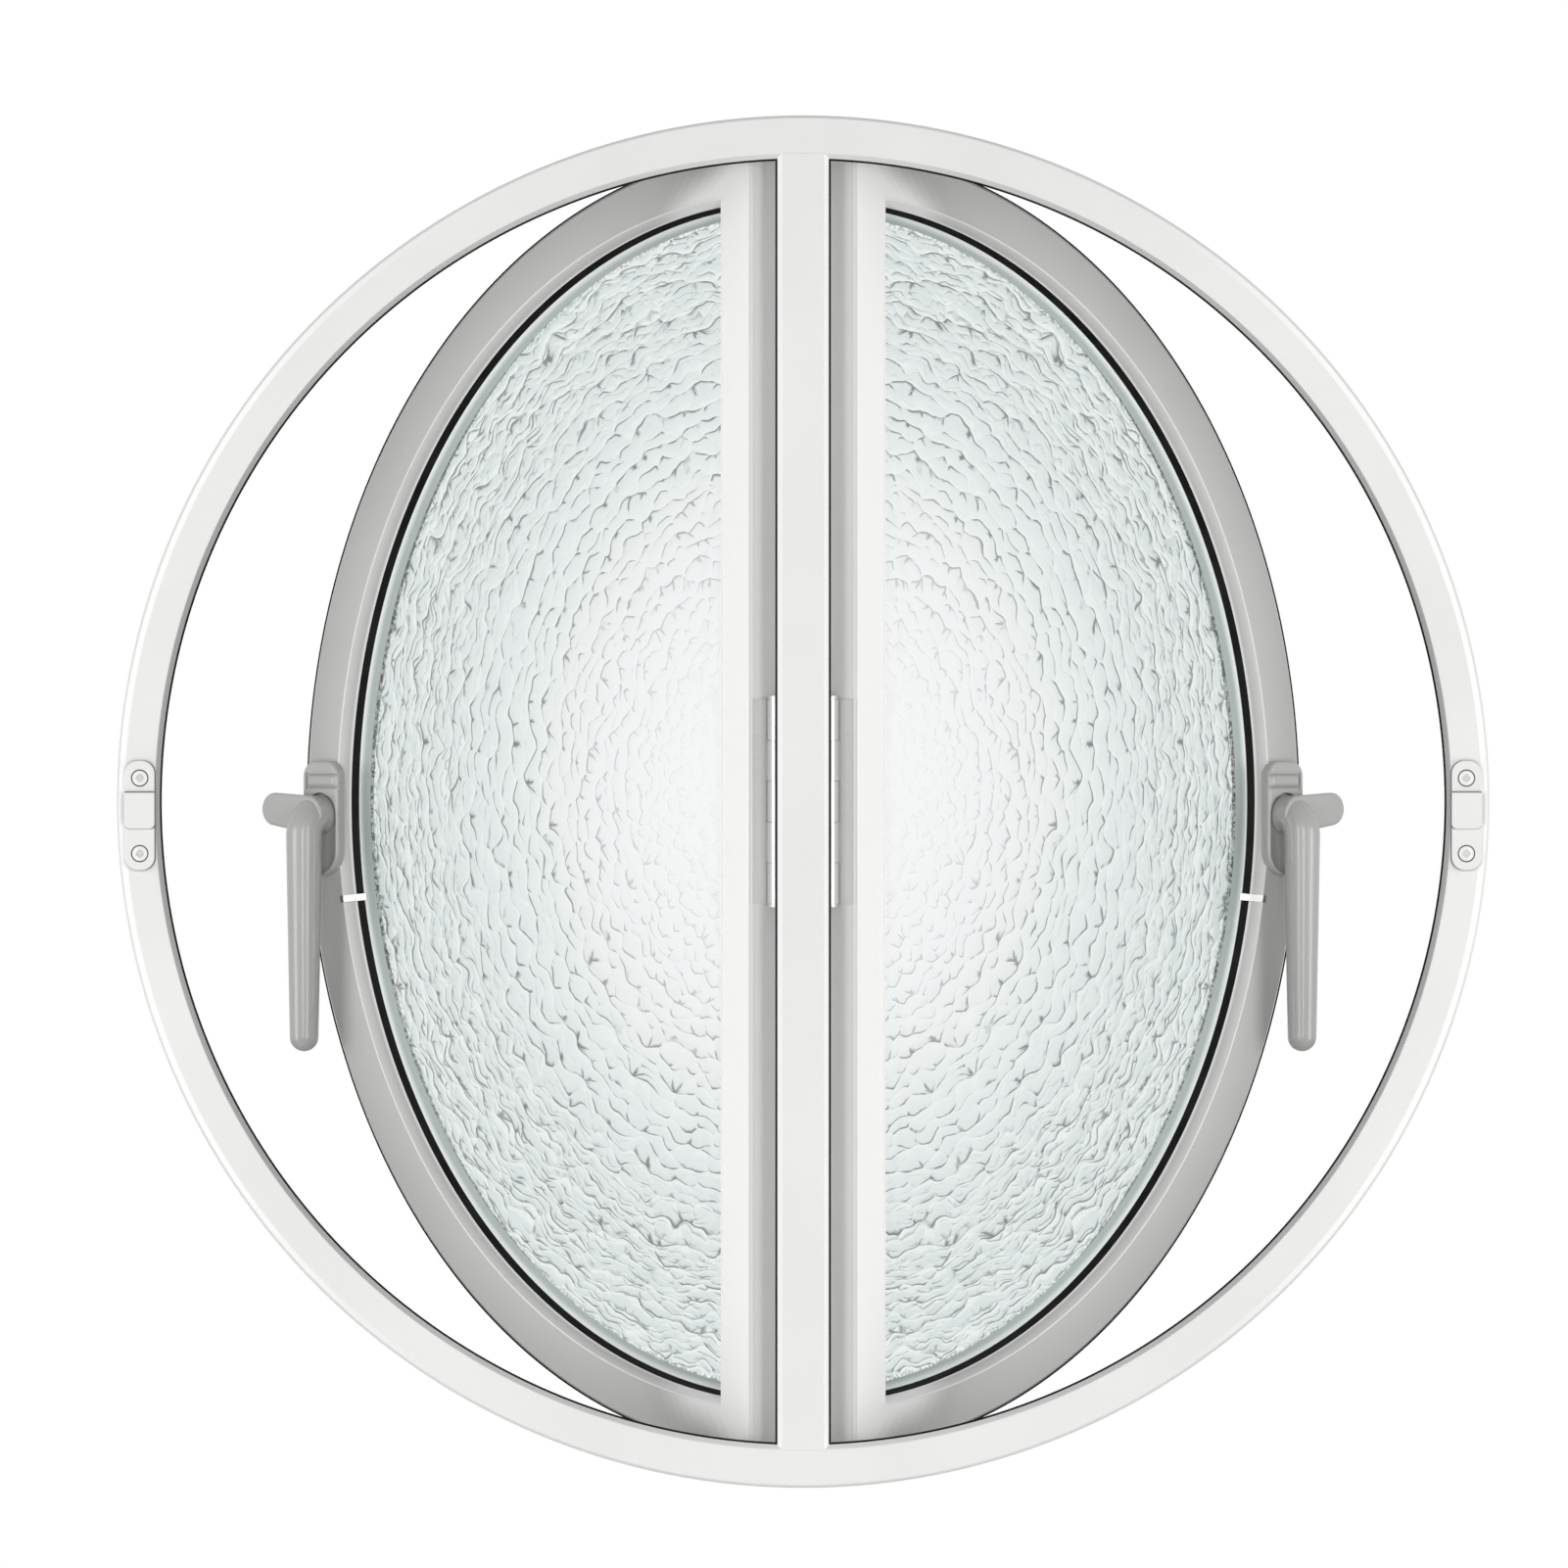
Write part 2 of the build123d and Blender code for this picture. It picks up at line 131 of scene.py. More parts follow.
GLASS_BACK = GLASS_FRONT + GLASS_THICKNESS
OUTER_LIP_FRONT = SASH_THICKNESS - OUTER_LIP_THICKNESS
OUTER_LIP_INSET = SASH_FACE_WIDTH + OUTER_LIP_WIDTH
GLASS_INSET = SASH_FACE_WIDTH + GLASS_EDGE_GAP

# Painted light of the sash: none at the stile, grey painted shade on the arc past a slanting soft line, and
# painted highlights on the bead's ridge and edge
ARC_SHADE_START = 36 * MM
ARC_SHADE_SLANT = 1.9
ARC_SHADE_FADE = 17 * MM
# Painted highlights on the bead's ridge and edge, and painted shade on its slope
RIDGE_SHADE = 0.2
BEAD_SHADE = 0.74
BEAD_EDGE_SHADE = 0
INWARD_SHADE_EASING = 0.2
# Painted shade on the stile's chamfer, and hardly any on its side
CHAMFER_SHADE = 0.4
CHAMFER_FADE = 0.66 * MM
STILE_SIDE_SHADE = 0.04
STILE_SIDE_REACH = 1.98 * MM

# Strips along the glazing and the sash's rim: the black rim seal is also a painted shade line, the white
# sealing strip also a painted highlight line, and the margin carries painted shade
SEALANT_AND_HIGHLIGHT_RADIUS = 0.8 * MM
MARGIN_WIDTH = 8.5 * MM
MARGIN_RISE = 0.3 * MM
# Width over which the margin's painted shade deepens
MARGIN_FADE = 4.5 * MM
MARGIN_TAPER = 0.45
RIM_SEAL_AND_SHADE_LINE_RADIUS = 0.5 * MM
RIM_SEAL_AND_SHADE_LINE_INSET = 0.6 * MM

# Hammered glass: its dimples, and the place that its pattern spreads out from
DIMPLE = 8 * MM
DIMPLES_ROUND = 13
DIMPLE_EDGE = 0.19
FINE_DIMPLE = 4.4 * MM
FINE_DIMPLES_ROUND = 30
FINE_DIMPLE_EDGE = 0.34
DIMPLE_DEPTH = 0.4 * MM
GLASS_CENTRE = (14 * MM, 13.5 * MM, 0)
WANDER = 16 * MM
WANDER_SCALE = 45
GLASS_ROUGHNESS = 0.04
GLASS_IOR = 1.5

# Parts of a dimple, as shares of its edge's thickness and of its width: the dark dash of painted shade, the
# crest of painted highlight and the hollow of painted shade
DASH_CORE = 0.2
DASH_SIDE = (0.2, 0.42)
CREST_CORE = 0.4
CREST_WIDTH = 2
CREST_SIDE = (-0.42, -0.2)
HOLLOW_SIDE = (-0.2, 0.5)
HOLLOW_SHARE = 0.2

# Reach of the pattern's parts from that place, with their shares
DASH_REACH = (40 * MM, 210 * MM)
MIDDLE_SHARE = 0.04
CREST_REACH = (90 * MM, 330 * MM)
CREST_SHARE = 0.45
TINT_REACH = (40 * MM, 330 * MM)
FINE_REACH = (215 * MM, 310 * MM)
FINE_SHARE = 0.95

# Heights over which the fine dimples fall off, and breaks in the dashes
FINE_HEIGHTS = (200 * MM, 290 * MM)
FINE_END_SHARE = 0.8
BREAK_SCALE = 90
BREAK_RANGE = (0.32, 0.52)
BREAK_SHARE = 0.15

# Crumbs of the pattern along the pane's arc: painted glints and specks of painted shade
CRUMB_BAND = 6 * MM
CRUMB_INSET = 39 * MM
CRUMB_SHIFT = 3.8 * MM
CRUMB_HEIGHT = 350 * MM
CRUMB_SCALE = 420
GLINT_CRUMBS = (0.38, 0.46)
SHADE_CRUMBS = (0.50, 0.57)
CRUMB_RADIUS = SASH_RADIUS - CRUMB_INSET

# Tints of the glass: its own pale green, deepened towards the arc as painted shade, with painted shade in
# the dimples' dashes and hollows and painted highlights on their crests and on light crumbs
MIDDLE_TINT = (0.85, 0.87, 0.875)
ARC_SHADED_TINT = (0.48, 0.58, 0.56)
HOLLOW_SHADE_TINT = (0.30, 0.37, 0.36)
CREST_HIGHLIGHT_TINT = (0.94, 0.96, 0.96)
DASH_SHADE_TINT = (0.03, 0.038, 0.038)
CRUMB_GLINT_TINT = (0.96, 0.98, 0.98)
CLEAR_TINTS = ((0.96, 0.97, 0.97), (0.99, 0.995, 0.995))

# Hinge: its painted leaves, and the bare part of its barrel
BARREL_RADIUS = 4 * MM
BARREL_FADE = 0.2 * MM
BARE_REACH = 0.9 * MM
BARE_FADE = 0.4 * MM
LEAF_TONES = ((0.74, 0.745, 0.73), (0.78, 0.785, 0.77))
BARE_TONES = ((0.86, 0.86, 0.85), (0.94, 0.94, 0.93))
HINGE_ROUGHNESS = 0.3

# Black rubber
RUBBER_TONES = ((0.006, 0.006, 0.006), (0.016, 0.016, 0.015))
RUBBER_ROUGHNESS = 0.5
RUBBER_GLOSS = 0.08
BLOOM_SCALE = 60
BLOOM_RANGE = (0.35, 0.75)

# Grain of the finishes
NOISE_RANGE = (0.3, 0.7)
NOISE_MEAN = (0.5, 0.5, 0.5)
NOISE_DETAIL = 3
FINE_DETAIL = 2
PLAIN_DETAIL = 1
TONE_SCALE = 6
TONE_DRIFT = 0.03
METAL_SCALE = 90
GLOSS_SCALE = 30
GLOSS_RANGE = (0.9, 1.15)
COAT_ROUGHNESS = 0.12
PEEL_SCALE = 420
PEEL_DEPTH = 0.3 * MM
PAINT_PEEL = 0.06
METAL_PEEL = 0.05
RUBBER_PEEL = 0.1

# Strike plate and its wedge
STRIKE_TOP = 24.4 * MM
STRIKE_BOTTOM = -40.5 * MM
STRIKE_CORNER = 8 * MM
STRIKE_QUARTERS = ((1, 1), (-1, 1), (-1, -1), (1, -1))
STRIKE_ROUNDING = 1.1 * MM
WEDGE_TOP = 6 * MM
WEDGE_BOTTOM = -16.4 * MM
WEDGE_CORNER = 3.5 * MM
WEDGE_TOP_CORNER = 1.3 * MM
WEDGE_RISE = 2.2 * MM
WEDGE_LOW_RISE = 1.2 * MM
STRIKE_THICKNESS = STRIKE_RISE - WEDGE_RISE
# Painted shade on the strike's edges, with a darker painted shade line along the wedge's top
EDGE_SHADE = 0.3
WEDGE_TOP_SHADE = 0.85

# Screws of the strike plate, whose mesh has its rows at shares of the head's radius; a dark flat ring round
# each head paints the shadow of its countersink, and its middle gets painted shade
SCREW_HEIGHTS = (13.7 * MM, -30.3 * MM)
SCREW_RADIUS = 4.5 * MM
SCREW_RISE = 0.6 * MM
SCREW_DOME_END = 0.01
SCREW_SHADOW_RING = 0.55 * MM
SCREW_SHADOW_RING_RISE = 0.05 * MM
SCREW_SHADOW_RING_START = 1.01
SCREW_SLOT = 0.75 * MM
SCREW_SLOT_REACH = 2.1 * MM
SCREW_SLOT_DEPTH = 0.4 * MM
SCREW_ROWS = (0.1, 0.16, 0.2, 0.3, 0.4, 0.44, 0.48, 0.6, 0.75, 0.88, 0.95, 1.0, 1.02)
SLOT_SHADE = 0.25
SLOT_SHADE_END = 0.5
RING_SHADE_START = 0.98

# Fineness of the meshes
RING_STEPS = 360
ARC_STEPS = 150
EDGE_STEPS = 40
ROUND_STEPS = 3
CORNER_STEPS = 10
STRIP_TURNS = 10
SCREW_TURNS = 64
MARGIN_STEPS = 6
PANE_ROWS = 300
PANE_COLUMNS = 110
PANE_TIP = 0.3 * MM
SOFT_EDGE = 0.5 * MM
RUBBER_EDGE = 0.4 * MM
EASE_SHARE = 0.45
SHARP_ANGLE = math.radians(50)

# Camera, with the window's centre at its place in the photograph
PHOTO_SIZE = 1601
CENTRE_PIXEL = (820.0, 818.5)
PICTURE_WIDTH = 914 * MM
CAMERA_DISTANCE = 3.0
CAMERA_REACH = 100

# Studio light and floor
AMBIENT = 0.29
BOX_TARGET = (0, 0.1, 0)
FRONT_BOX_PLACE = (0.75, -2.2)
FRONT_BOX_SIZE = (0.4, 1.9)
FRONT_BOX_POWER = 13.5
SIDE_BOX_PLACE = (2.8, -1.0)
SIDE_BOX_SIZE = (1.2, 1.9)
SIDE_BOX_POWER = 26
FLOOR_SIZE = 8.0
FLOOR_HEIGHT = -1.0

# Sockets of a mix of two colours
MIX_FACTOR = 0
MIX_FIRST = 6
MIX_SECOND = 7
MIX_RESULT = 2


def rounded(outline, cut):
    """A closed outline whose corners are eased by short curves that start that far from each corner."""
    points = [Vector(p) for p in outline]
    eased = []
    for index, corner in enumerate(points):
        before = points[index - 1] - corner
        after = points[(index + 1) % len(points)] - corner
        start = corner + before.normalized() * min(cut, before.length * EASE_SHARE)
        end = corner + after.normalized() * min(cut, after.length * EASE_SHARE)
        for step in range(ROUND_STEPS + 1):
            t = step / ROUND_STEPS
            eased.append(start * (1 - t) ** 2 + corner * 2 * t * (1 - t) + end * t**2)
    return eased


def smooth_mesh(name, bm):
    """Finishes a bmesh as a mesh with smooth faces and sharp creases."""
    bmesh.ops.recalc_face_normals(bm, faces=bm.faces)
    mesh = bpy.data.meshes.new(name)
    bm.to_mesh(mesh)
    bm.free()
    mesh.shade_smooth()
    mesh.set_sharp_from_angle(angle=SHARP_ANGLE)
    return mesh


def bridge(bm, rows):
    """Faces from each closed row of points to the next."""
    for row, following in zip(rows, rows[1:]):
        for k in range(len(row)):
            n = (k + 1) % len(row)
            bm.faces.new((row[k], row[n], following[n], following[k]))


def capped(bm, rows):
    """A bmesh with faces along its rows of points and over the first and the last row."""
    bridge(bm, rows)
    bm.faces.new(rows[0])
    bm.faces.new(rows[-1])
    return bm


def skin(rows):
    """A bmesh through closed rows of points, with the last row joined to the first."""
    bm = bmesh.new()
    grid = [[bm.verts.new(p) for p in row] for row in rows]
    bridge(bm, grid + grid[:1])
    return bm


def add_piece(name, bm, material, slot, *nodes):
    """Links a bmesh as a piece of the window, in place of the named nodes."""
    mesh = smooth_mesh(name, bm)
    mesh.materials.append(material)
    piece = bpy.data.objects.new(name, mesh)
    bpy.context.scene.collection.objects.link(piece)
    piece.modifiers.new("even_normals", "WEIGHTED_NORMAL").keep_sharp = True
    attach(piece, "root")
    if nodes:
        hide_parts(*nodes)


def half_round_row(rim_inset, edge_inset, y, radius, edge_x):
    """Points round a half-round line: up the rim's arc from its bottom, then down the straight edge."""
    arc_radius = radius - rim_inset
    x = edge_x + edge_inset
    corner = math.acos(x / arc_radius)
    top = arc_radius * math.sin(corner)
    angles = [corner * (2 * i / ARC_STEPS - 1) for i in range(ARC_STEPS + 1)]
    row = [Vector((arc_radius * math.cos(a), y, arc_radius * math.sin(a))) for a in angles]
    heights = [top * (1 - 2 * i / EDGE_STEPS) for i in range(1, EDGE_STEPS)]
    return row + [Vector((x, y, z)) for z in heights]


def half_round(outline, radius, edge_x, face_y):
    """A bmesh of a section of (rim inset, edge inset, depth) swept round a half-round line."""
    return skin([half_round_row(rim, edge, face_y + depth, radius, edge_x) for rim, edge, depth in outline])


def sash_section(outline):
    """A bmesh of a section swept round the closed sash, with depths counted from the sash's face."""
    return half_round(outline, SASH_RADIUS, STILE_ORIGIN_X, SASH_FACE_Y)


def flat(outline):
    """A section whose insets are the same at the rim and at the straight edge."""
    return [(inset, inset, depth) for inset, depth in outline]


def placed(bm, side, opened):
    """Swings a piece of the closed right sash out about the hinge, and mirrors it for the left side."""
    if opened:
        hinge = Vector((HINGE_X, HINGE_Y, 0))
        bmesh.ops.rotate(bm, verts=bm.verts, cent=hinge, matrix=Matrix.Rotation(OPEN_ANGLE, 3, "Z"))
    if SIDES[side] < 0:
        bmesh.ops.scale(bm, verts=bm.verts, vec=(-1, 1, 1))
    return bm


def smooth_step(value, low, high):
    """Goes softly from 0 to 1 as the value goes from low to high."""
    t = min(1, max(0, (value - low) / (high - low)))
    return t * t * (3 - 2 * t)


def shaded(bm, shade):
    """Stores a painted shade, worked out from its place, at each point of a bmesh: light and shade painted
    into the colour.
    """
    layer = bm.verts.layers.float.new("shade")
    for vert in bm.verts:
        vert[layer] = shade(vert.co)
    return bm


def node_material(name):
    """A new material with its node tree and its shader."""
    material = bpy.data.materials.new(name)
    material.use_nodes = True
    tree = material.node_tree
    return material, tree, tree.nodes["Principled BSDF"]


def noise_texture(tree, place, scale, detail):
    """A noise texture over given places."""
    texture = tree.nodes.new("ShaderNodeTexNoise")
    texture.inputs["Scale"].default_value = scale
    texture.inputs["Detail"].default_value = detail
    tree.links.new(place, texture.inputs["Vector"])
    return texture


def noise(tree, scale, detail=NOISE_DETAIL):
    """A noise over the object's own coordinates."""
    place = tree.nodes.new("ShaderNodeTexCoord").outputs["Object"]
    return noise_texture(tree, place, scale, detail).outputs["Fac"]


def ramp(tree, value, low, high, dark, light):
    """A colour that goes from dark to light as the value goes from low to high."""
    node = tree.nodes.new("ShaderNodeValToRGB")
    node.color_ramp.elements[0].position = low
    node.color_ramp.elements[1].position = high
    node.color_ramp.elements[0].color = (*dark, 1)
    node.color_ramp.elements[1].color = (*light, 1)
    tree.links.new(value, node.inputs["Fac"])
    return node.outputs["Color"]


def span(tree, value, low, high, to_low, to_high):
    """The value mapped softly from one range to another, and held at its ends."""
    node = tree.nodes.new("ShaderNodeMapRange")
    node.interpolation_type = "SMOOTHSTEP"
    for name, number in (("From Min", low), ("From Max", high), ("To Min", to_low), ("To Max", to_high)):
        node.inputs[name].default_value = number
    tree.links.new(value, node.inputs["Value"])
    return node.outputs["Result"]


def attribute(tree, name, output):
    """A value stored at the points of a mesh."""
    node = tree.nodes.new("ShaderNodeAttribute")
    node.attribute_name = name
    return node.outputs[output]


def math_node(tree, operation, first, second):
    """Two values joined by an operation."""
    node = tree.nodes.new("ShaderNodeMath")
    node.operation = operation
    tree.links.new(first, node.inputs[0])
    tree.links.new(second, node.inputs[1])
    return node.outputs[0]


def times(tree, first, second):
    """The product of two values."""
    return math_node(tree, "MULTIPLY", first, second)


def vector_node(tree, operation, first, second=(0, 0, 0)):
    """A vector operation on a vector and a second one, given as numbers or by another node."""
    node = tree.nodes.new("ShaderNodeVectorMath")
    node.operation = operation
    tree.links.new(first, node.inputs[0])
    if isinstance(second, tuple):
        node.inputs[1].default_value = second
    else:
        tree.links.new(second, node.inputs[1])
    return node.outputs["Value" if operation in ("DOT_PRODUCT", "LENGTH") else "Vector"]


def mixed(tree, factor, first, second):
    """A colour that goes over to a second one by a factor."""
    node = tree.nodes.new("ShaderNodeMix")
    node.data_type = "RGBA"
    tree.links.new(factor, node.inputs[MIX_FACTOR])
    tree.links.new(first, node.inputs[MIX_FIRST])
    if isinstance(second, tuple):
        node.inputs[MIX_SECOND].default_value = (*second, 1)
    else:
        tree.links.new(second, node.inputs[MIX_SECOND])
    return node.outputs[MIX_RESULT]


def tone(tree, scale, dark, light):
    """A colour that drifts between two tones."""
    return ramp(tree, noise(tree, scale), *NOISE_RANGE, dark, light)


def finish_coat(tree, shader, roughness, orange_peel):
    """The uneven gloss and the faint orange peel of a finish."""
    low, high = [roughness * share for share in GLOSS_RANGE]
    gloss = span(tree, noise(tree, GLOSS_SCALE), *NOISE_RANGE, low, high)
    tree.links.new(gloss, shader.inputs["Roughness"])
    bump = tree.nodes.new("ShaderNodeBump")
    bump.inputs["Strength"].default_value = orange_peel
    bump.inputs["Distance"].default_value = PEEL_DEPTH
    tree.links.new(noise(tree, PEEL_SCALE, FINE_DETAIL), bump.inputs["Height"])
    tree.links.new(bump.outputs["Normal"], shader.inputs["Normal"])


def sprayed(name, roughness, coat):
    """A new material with the gloss of sprayed paint, with its node tree and its shader."""
    material, tree, shader = node_material(name)
    finish_coat(tree, shader, roughness, PAINT_PEEL)
    shader.inputs["Coat Weight"].default_value = coat
    shader.inputs["Coat Roughness"].default_value = COAT_ROUGHNESS
    return material, tree, shader


def paint(name, dark, light, roughness, coat):
    """Sprayed paint with a slight drift of tone."""
    material, tree, shader = sprayed(name, roughness, coat)
    tree.links.new(tone(tree, TONE_SCALE, dark, light), shader.inputs["Base Color"])
    return material


def paint_with_painted_light(name, white, painted_shade_colour, roughness, coat):
    """Sprayed paint that goes from white to its painted shade colour by the painted shade stored in the
    mesh, so that light and shade are painted into its colour.
    """
    material, tree, shader = sprayed(name, roughness, coat)
    drift = span(tree, noise(tree, TONE_SCALE), *NOISE_RANGE, -TONE_DRIFT, TONE_DRIFT)
    # The stored painted shade darkens the paint where shade falls, and low values whiten it as a painted
    # highlight.
    shade = math_node(tree, "ADD", attribute(tree, "shade", "Fac"), drift)
    colour = ramp(tree, shade, TONE_DRIFT, 1 - TONE_DRIFT, white, painted_shade_colour)
    tree.links.new(colour, shader.inputs["Base Color"])
    return material


def rubber(name):
    """Black rubber with a dull bloom."""
    material, tree, shader = node_material(name)
    bloom = ramp(tree, noise(tree, BLOOM_SCALE), *BLOOM_RANGE, *RUBBER_TONES)
    tree.links.new(bloom, shader.inputs["Base Color"])
    finish_coat(tree, shader, RUBBER_ROUGHNESS, RUBBER_PEEL)
    shader.inputs["Specular IOR Level"].default_value = RUBBER_GLOSS
    return material


def metal(name, dark, light, roughness):
    """Bare satin metal."""
    material, tree, shader = node_material(name)
    tree.links.new(tone(tree, METAL_SCALE, dark, light), shader.inputs["Base Color"])
    finish_coat(tree, shader, roughness, METAL_PEEL)
    shader.inputs["Metallic"].default_value = 1.0
    return material


def hinge_finish(name):
    """Painted hinge leaves with a bare bright barrel."""
    material, tree, shader = node_material(name)
    place = tree.nodes.new("ShaderNodeTexCoord").outputs["Object"]
    offset = vector_node(tree, "ABSOLUTE", place)
    offset = vector_node(tree, "SUBTRACT", offset, (HINGE_X, HINGE_Y, 0))
    offset = vector_node(tree, "MULTIPLY", offset, (1, 1, 0))
    from_axis = vector_node(tree, "LENGTH", offset)
    beside = vector_node(tree, "DOT_PRODUCT", offset, (1, 0, 0))
    on_barrel = span(tree, from_axis, BARREL_RADIUS, BARREL_RADIUS + BARREL_FADE, 1, 0)
    bare = times(tree, on_barrel, span(tree, beside, BARE_REACH, BARE_REACH + BARE_FADE, 1, 0))
    leaf = tone(tree, TONE_SCALE, *LEAF_TONES)
    bright = tone(tree, METAL_SCALE, *BARE_TONES)
    tree.links.new(mixed(tree, bare, leaf, bright), shader.inputs["Base Color"])
    tree.links.new(bare, shader.inputs["Metallic"])
    finish_coat(tree, shader, HINGE_ROUGHNESS, METAL_PEEL)
    return material


def voronoi(tree, place, feature, output):
    """One measure of the dimples' cells."""
    node = tree.nodes.new("ShaderNodeTexVoronoi")
    node.voronoi_dimensions = "2D"
    node.feature = feature
    node.inputs["Scale"].default_value = 1
    tree.links.new(place, node.inputs["Vector"])
    return node.outputs[output]


def dimples(tree, rings, across, along, thickness):
    """Painted shade on the outer edges and painted highlights on the crests of dimples along the pattern's
    rings, and the side across each.
    """
    cells = vector_node(tree, "MULTIPLY", rings, (1 / across, along, 0))
    inside = vector_node(tree, "SUBTRACT", cells, voronoi(tree, cells, "F1", "Position"))
    side = vector_node(tree, "DOT_PRODUCT", inside, (1, 0, 0))
    edge = voronoi(tree, cells, "DISTANCE_TO_EDGE", "Distance")
    dark = span(tree, edge, thickness * DASH_CORE, thickness, 1, 0)
    dark = times(tree, dark, span(tree, side, *DASH_SIDE, 0, 1))
    crest_highlight = span(tree, edge, thickness * CREST_CORE, thickness * CREST_WIDTH, 1, 0)
    crest_highlight = times(tree, crest_highlight, span(tree, side, *CREST_SIDE, 1, 0))
    return dark, crest_highlight, side


def ring_places(tree, place):
    """Distance from the pattern's middle, alone and with the turn about it, for places that wander."""
    wander = noise_texture(tree, place, WANDER_SCALE, PLAIN_DETAIL).outputs["Color"]
    shift = vector_node(tree, "SUBTRACT", wander, NOISE_MEAN)
    shift = vector_node(tree, "MULTIPLY", shift, (WANDER, WANDER, 0))
    offset = vector_node(tree, "SUBTRACT", vector_node(tree, "ADD", place, shift), GLASS_CENTRE)
    split = tree.nodes.new("ShaderNodeSeparateXYZ")
    tree.links.new(offset, split.inputs[0])
    reach = vector_node(tree, "LENGTH", offset)
    rings = tree.nodes.new("ShaderNodeCombineXYZ")
    tree.links.new(reach, rings.inputs["X"])
    turn = math_node(tree, "ARCTAN2", split.outputs["Y"], split.outputs["X"])
    tree.links.new(turn, rings.inputs["Y"])
    return reach, rings.outputs[0]


def dimple_painted_light(tree, place, height):
    """The tint of the dimples, which paints their light and shade: faint at the middle, with dark dashes of
    painted shade that get finer towards the arc, painted highlights on their crests, painted shade in their
    hollows, and the glass's own tint deepened towards the arc as painted shade.
    """
    reach, rings = ring_places(tree, place)
    dark, crest_highlight, side = dimples(tree, rings, DIMPLE, DIMPLES_ROUND, DIMPLE_EDGE)
    fine_dark_shade, fine_crest_highlight, _ = dimples(tree, rings, FINE_DIMPLE, FINE_DIMPLES_ROUND, FINE_DIMPLE_EDGE)
    fine = span(tree, reach, *FINE_REACH, 0, FINE_SHARE)
    fine = times(tree, fine, span(tree, height, *FINE_HEIGHTS, 1, FINE_END_SHARE))
    dark = math_node(tree, "MAXIMUM", dark, times(tree, fine_dark_shade, fine))
    crest_highlight = math_node(tree, "MAXIMUM", crest_highlight, times(tree, fine_crest_highlight, fine))
    # Dark dashes and hollows are painted shade, and crests painted highlights.
    outward = span(tree, reach, *DASH_REACH, MIDDLE_SHARE, 1)
    broken = span(tree, noise(tree, BREAK_SCALE, FINE_DETAIL), *BREAK_RANGE, BREAK_SHARE, 1)
    dark = times(tree, dark, times(tree, outward, broken))
    hollow_shade = times(tree, span(tree, side, *HOLLOW_SIDE, 0, HOLLOW_SHARE), outward)
    crest_highlight = times(tree, crest_highlight, span(tree, reach, *CREST_REACH, 0, CREST_SHARE))
    # The tint keeps the glass's own pale green and deepens towards the arc as painted shade.
    tint = ramp(tree, span(tree, reach, *TINT_REACH, 0, 1), 0, 1, MIDDLE_TINT, ARC_SHADED_TINT)
    tint = mixed(tree, hollow_shade, tint, HOLLOW_SHADE_TINT)
    tint = mixed(tree, crest_highlight, tint, CREST_HIGHLIGHT_TINT)
    return mixed(tree, dark, tint, DASH_SHADE_TINT)


def crumbled(tree, place, height, tint):
    """A tint with crumbs of painted glints and of painted shade along the pane's arc."""
    reach = vector_node(tree, "LENGTH", place)
    reach = math_node(tree, "SUBTRACT", reach, span(tree, height, 0, CRUMB_HEIGHT, 0, CRUMB_SHIFT))
    near_arc = span(tree, reach, CRUMB_RADIUS - CRUMB_BAND, CRUMB_RADIUS, 0, 1)
    grains = noise(tree, CRUMB_SCALE, PLAIN_DETAIL)
    # Light crumbs are painted glints, dark ones painted shade.
    light = times(tree, near_arc, span(tree, grains, *GLINT_CRUMBS, 1, 0))
    dark = times(tree, near_arc, span(tree, grains, *SHADE_CRUMBS, 0, 1))
    return mixed(tree, dark, mixed(tree, light, tint, CRUMB_GLINT_TINT), DASH_SHADE_TINT)


def hammered_glass(name):
    """Obscure glass: clear to the room, with the tint of its dimples, which paints their light and shade,
    on its hammered back.
    """
    material, tree, shader = node_material(name)
    place = attribute(tree, "pane", "Vector")
    height = vector_node(tree, "DOT_PRODUCT", vector_node(tree, "ABSOLUTE", place), (0, 1, 0))
    tint = crumbled(tree, place, height, dimple_painted_light(tree, place, height))
    clear = tone(tree, TONE_SCALE, *CLEAR_TINTS)
    colour = mixed(tree, attribute(tree, "relief", "Fac"), clear, tint)
    tree.links.new(colour, shader.inputs["Base Color"])
    shader.inputs["Transmission Weight"].default_value = 1
    shader.inputs["Roughness"].default_value = GLASS_ROUGHNESS
    shader.inputs["IOR"].default_value = GLASS_IOR
    return material


# The frame's own white lies at FACE_SHADE; the paint's whiter end paints highlights and its darker end
# paints shade.
FRAME_PAINT_WITH_PAINTED_LIGHT = paint_with_painted_light(
    "frame_paint", white=(0.95, 0.95, 0.94), painted_shade_colour=(0.30, 0.30, 0.295), roughness=0.34, coat=0.25
)
# The strike paint's darker end is painted shade along the plate's edges.
STRIKE_PAINT_WITH_PAINTED_SHADE = paint_with_painted_light(
    "strike_paint", white=(0.79, 0.79, 0.78), painted_shade_colour=(0.10, 0.10, 0.098), roughness=0.34, coat=0.25
)
# The sash paint's darker end is painted shade on the arc; its white end also paints the bead's highlights.
SASH_PAINT_WITH_PAINTED_LIGHT = paint_with_painted_light(
    "sash_paint", white=(0.95, 0.95, 0.94), painted_shade_colour=(0.45, 0.455, 0.437), roughness=0.36, coat=0.25
)
HANDLE_PAINT = paint(
    "handle_paint", dark=(0.42, 0.425, 0.41), light=(0.46, 0.465, 0.45), roughness=0.36, coat=0.6
)
RUBBER = rubber("black_rubber")
TAPE = paint("glazing_tape", dark=(0.84, 0.87, 0.86), light=(0.88, 0.91, 0.90), roughness=0.5, coat=0)
HINGE_FINISH = hinge_finish("hinge_finish")
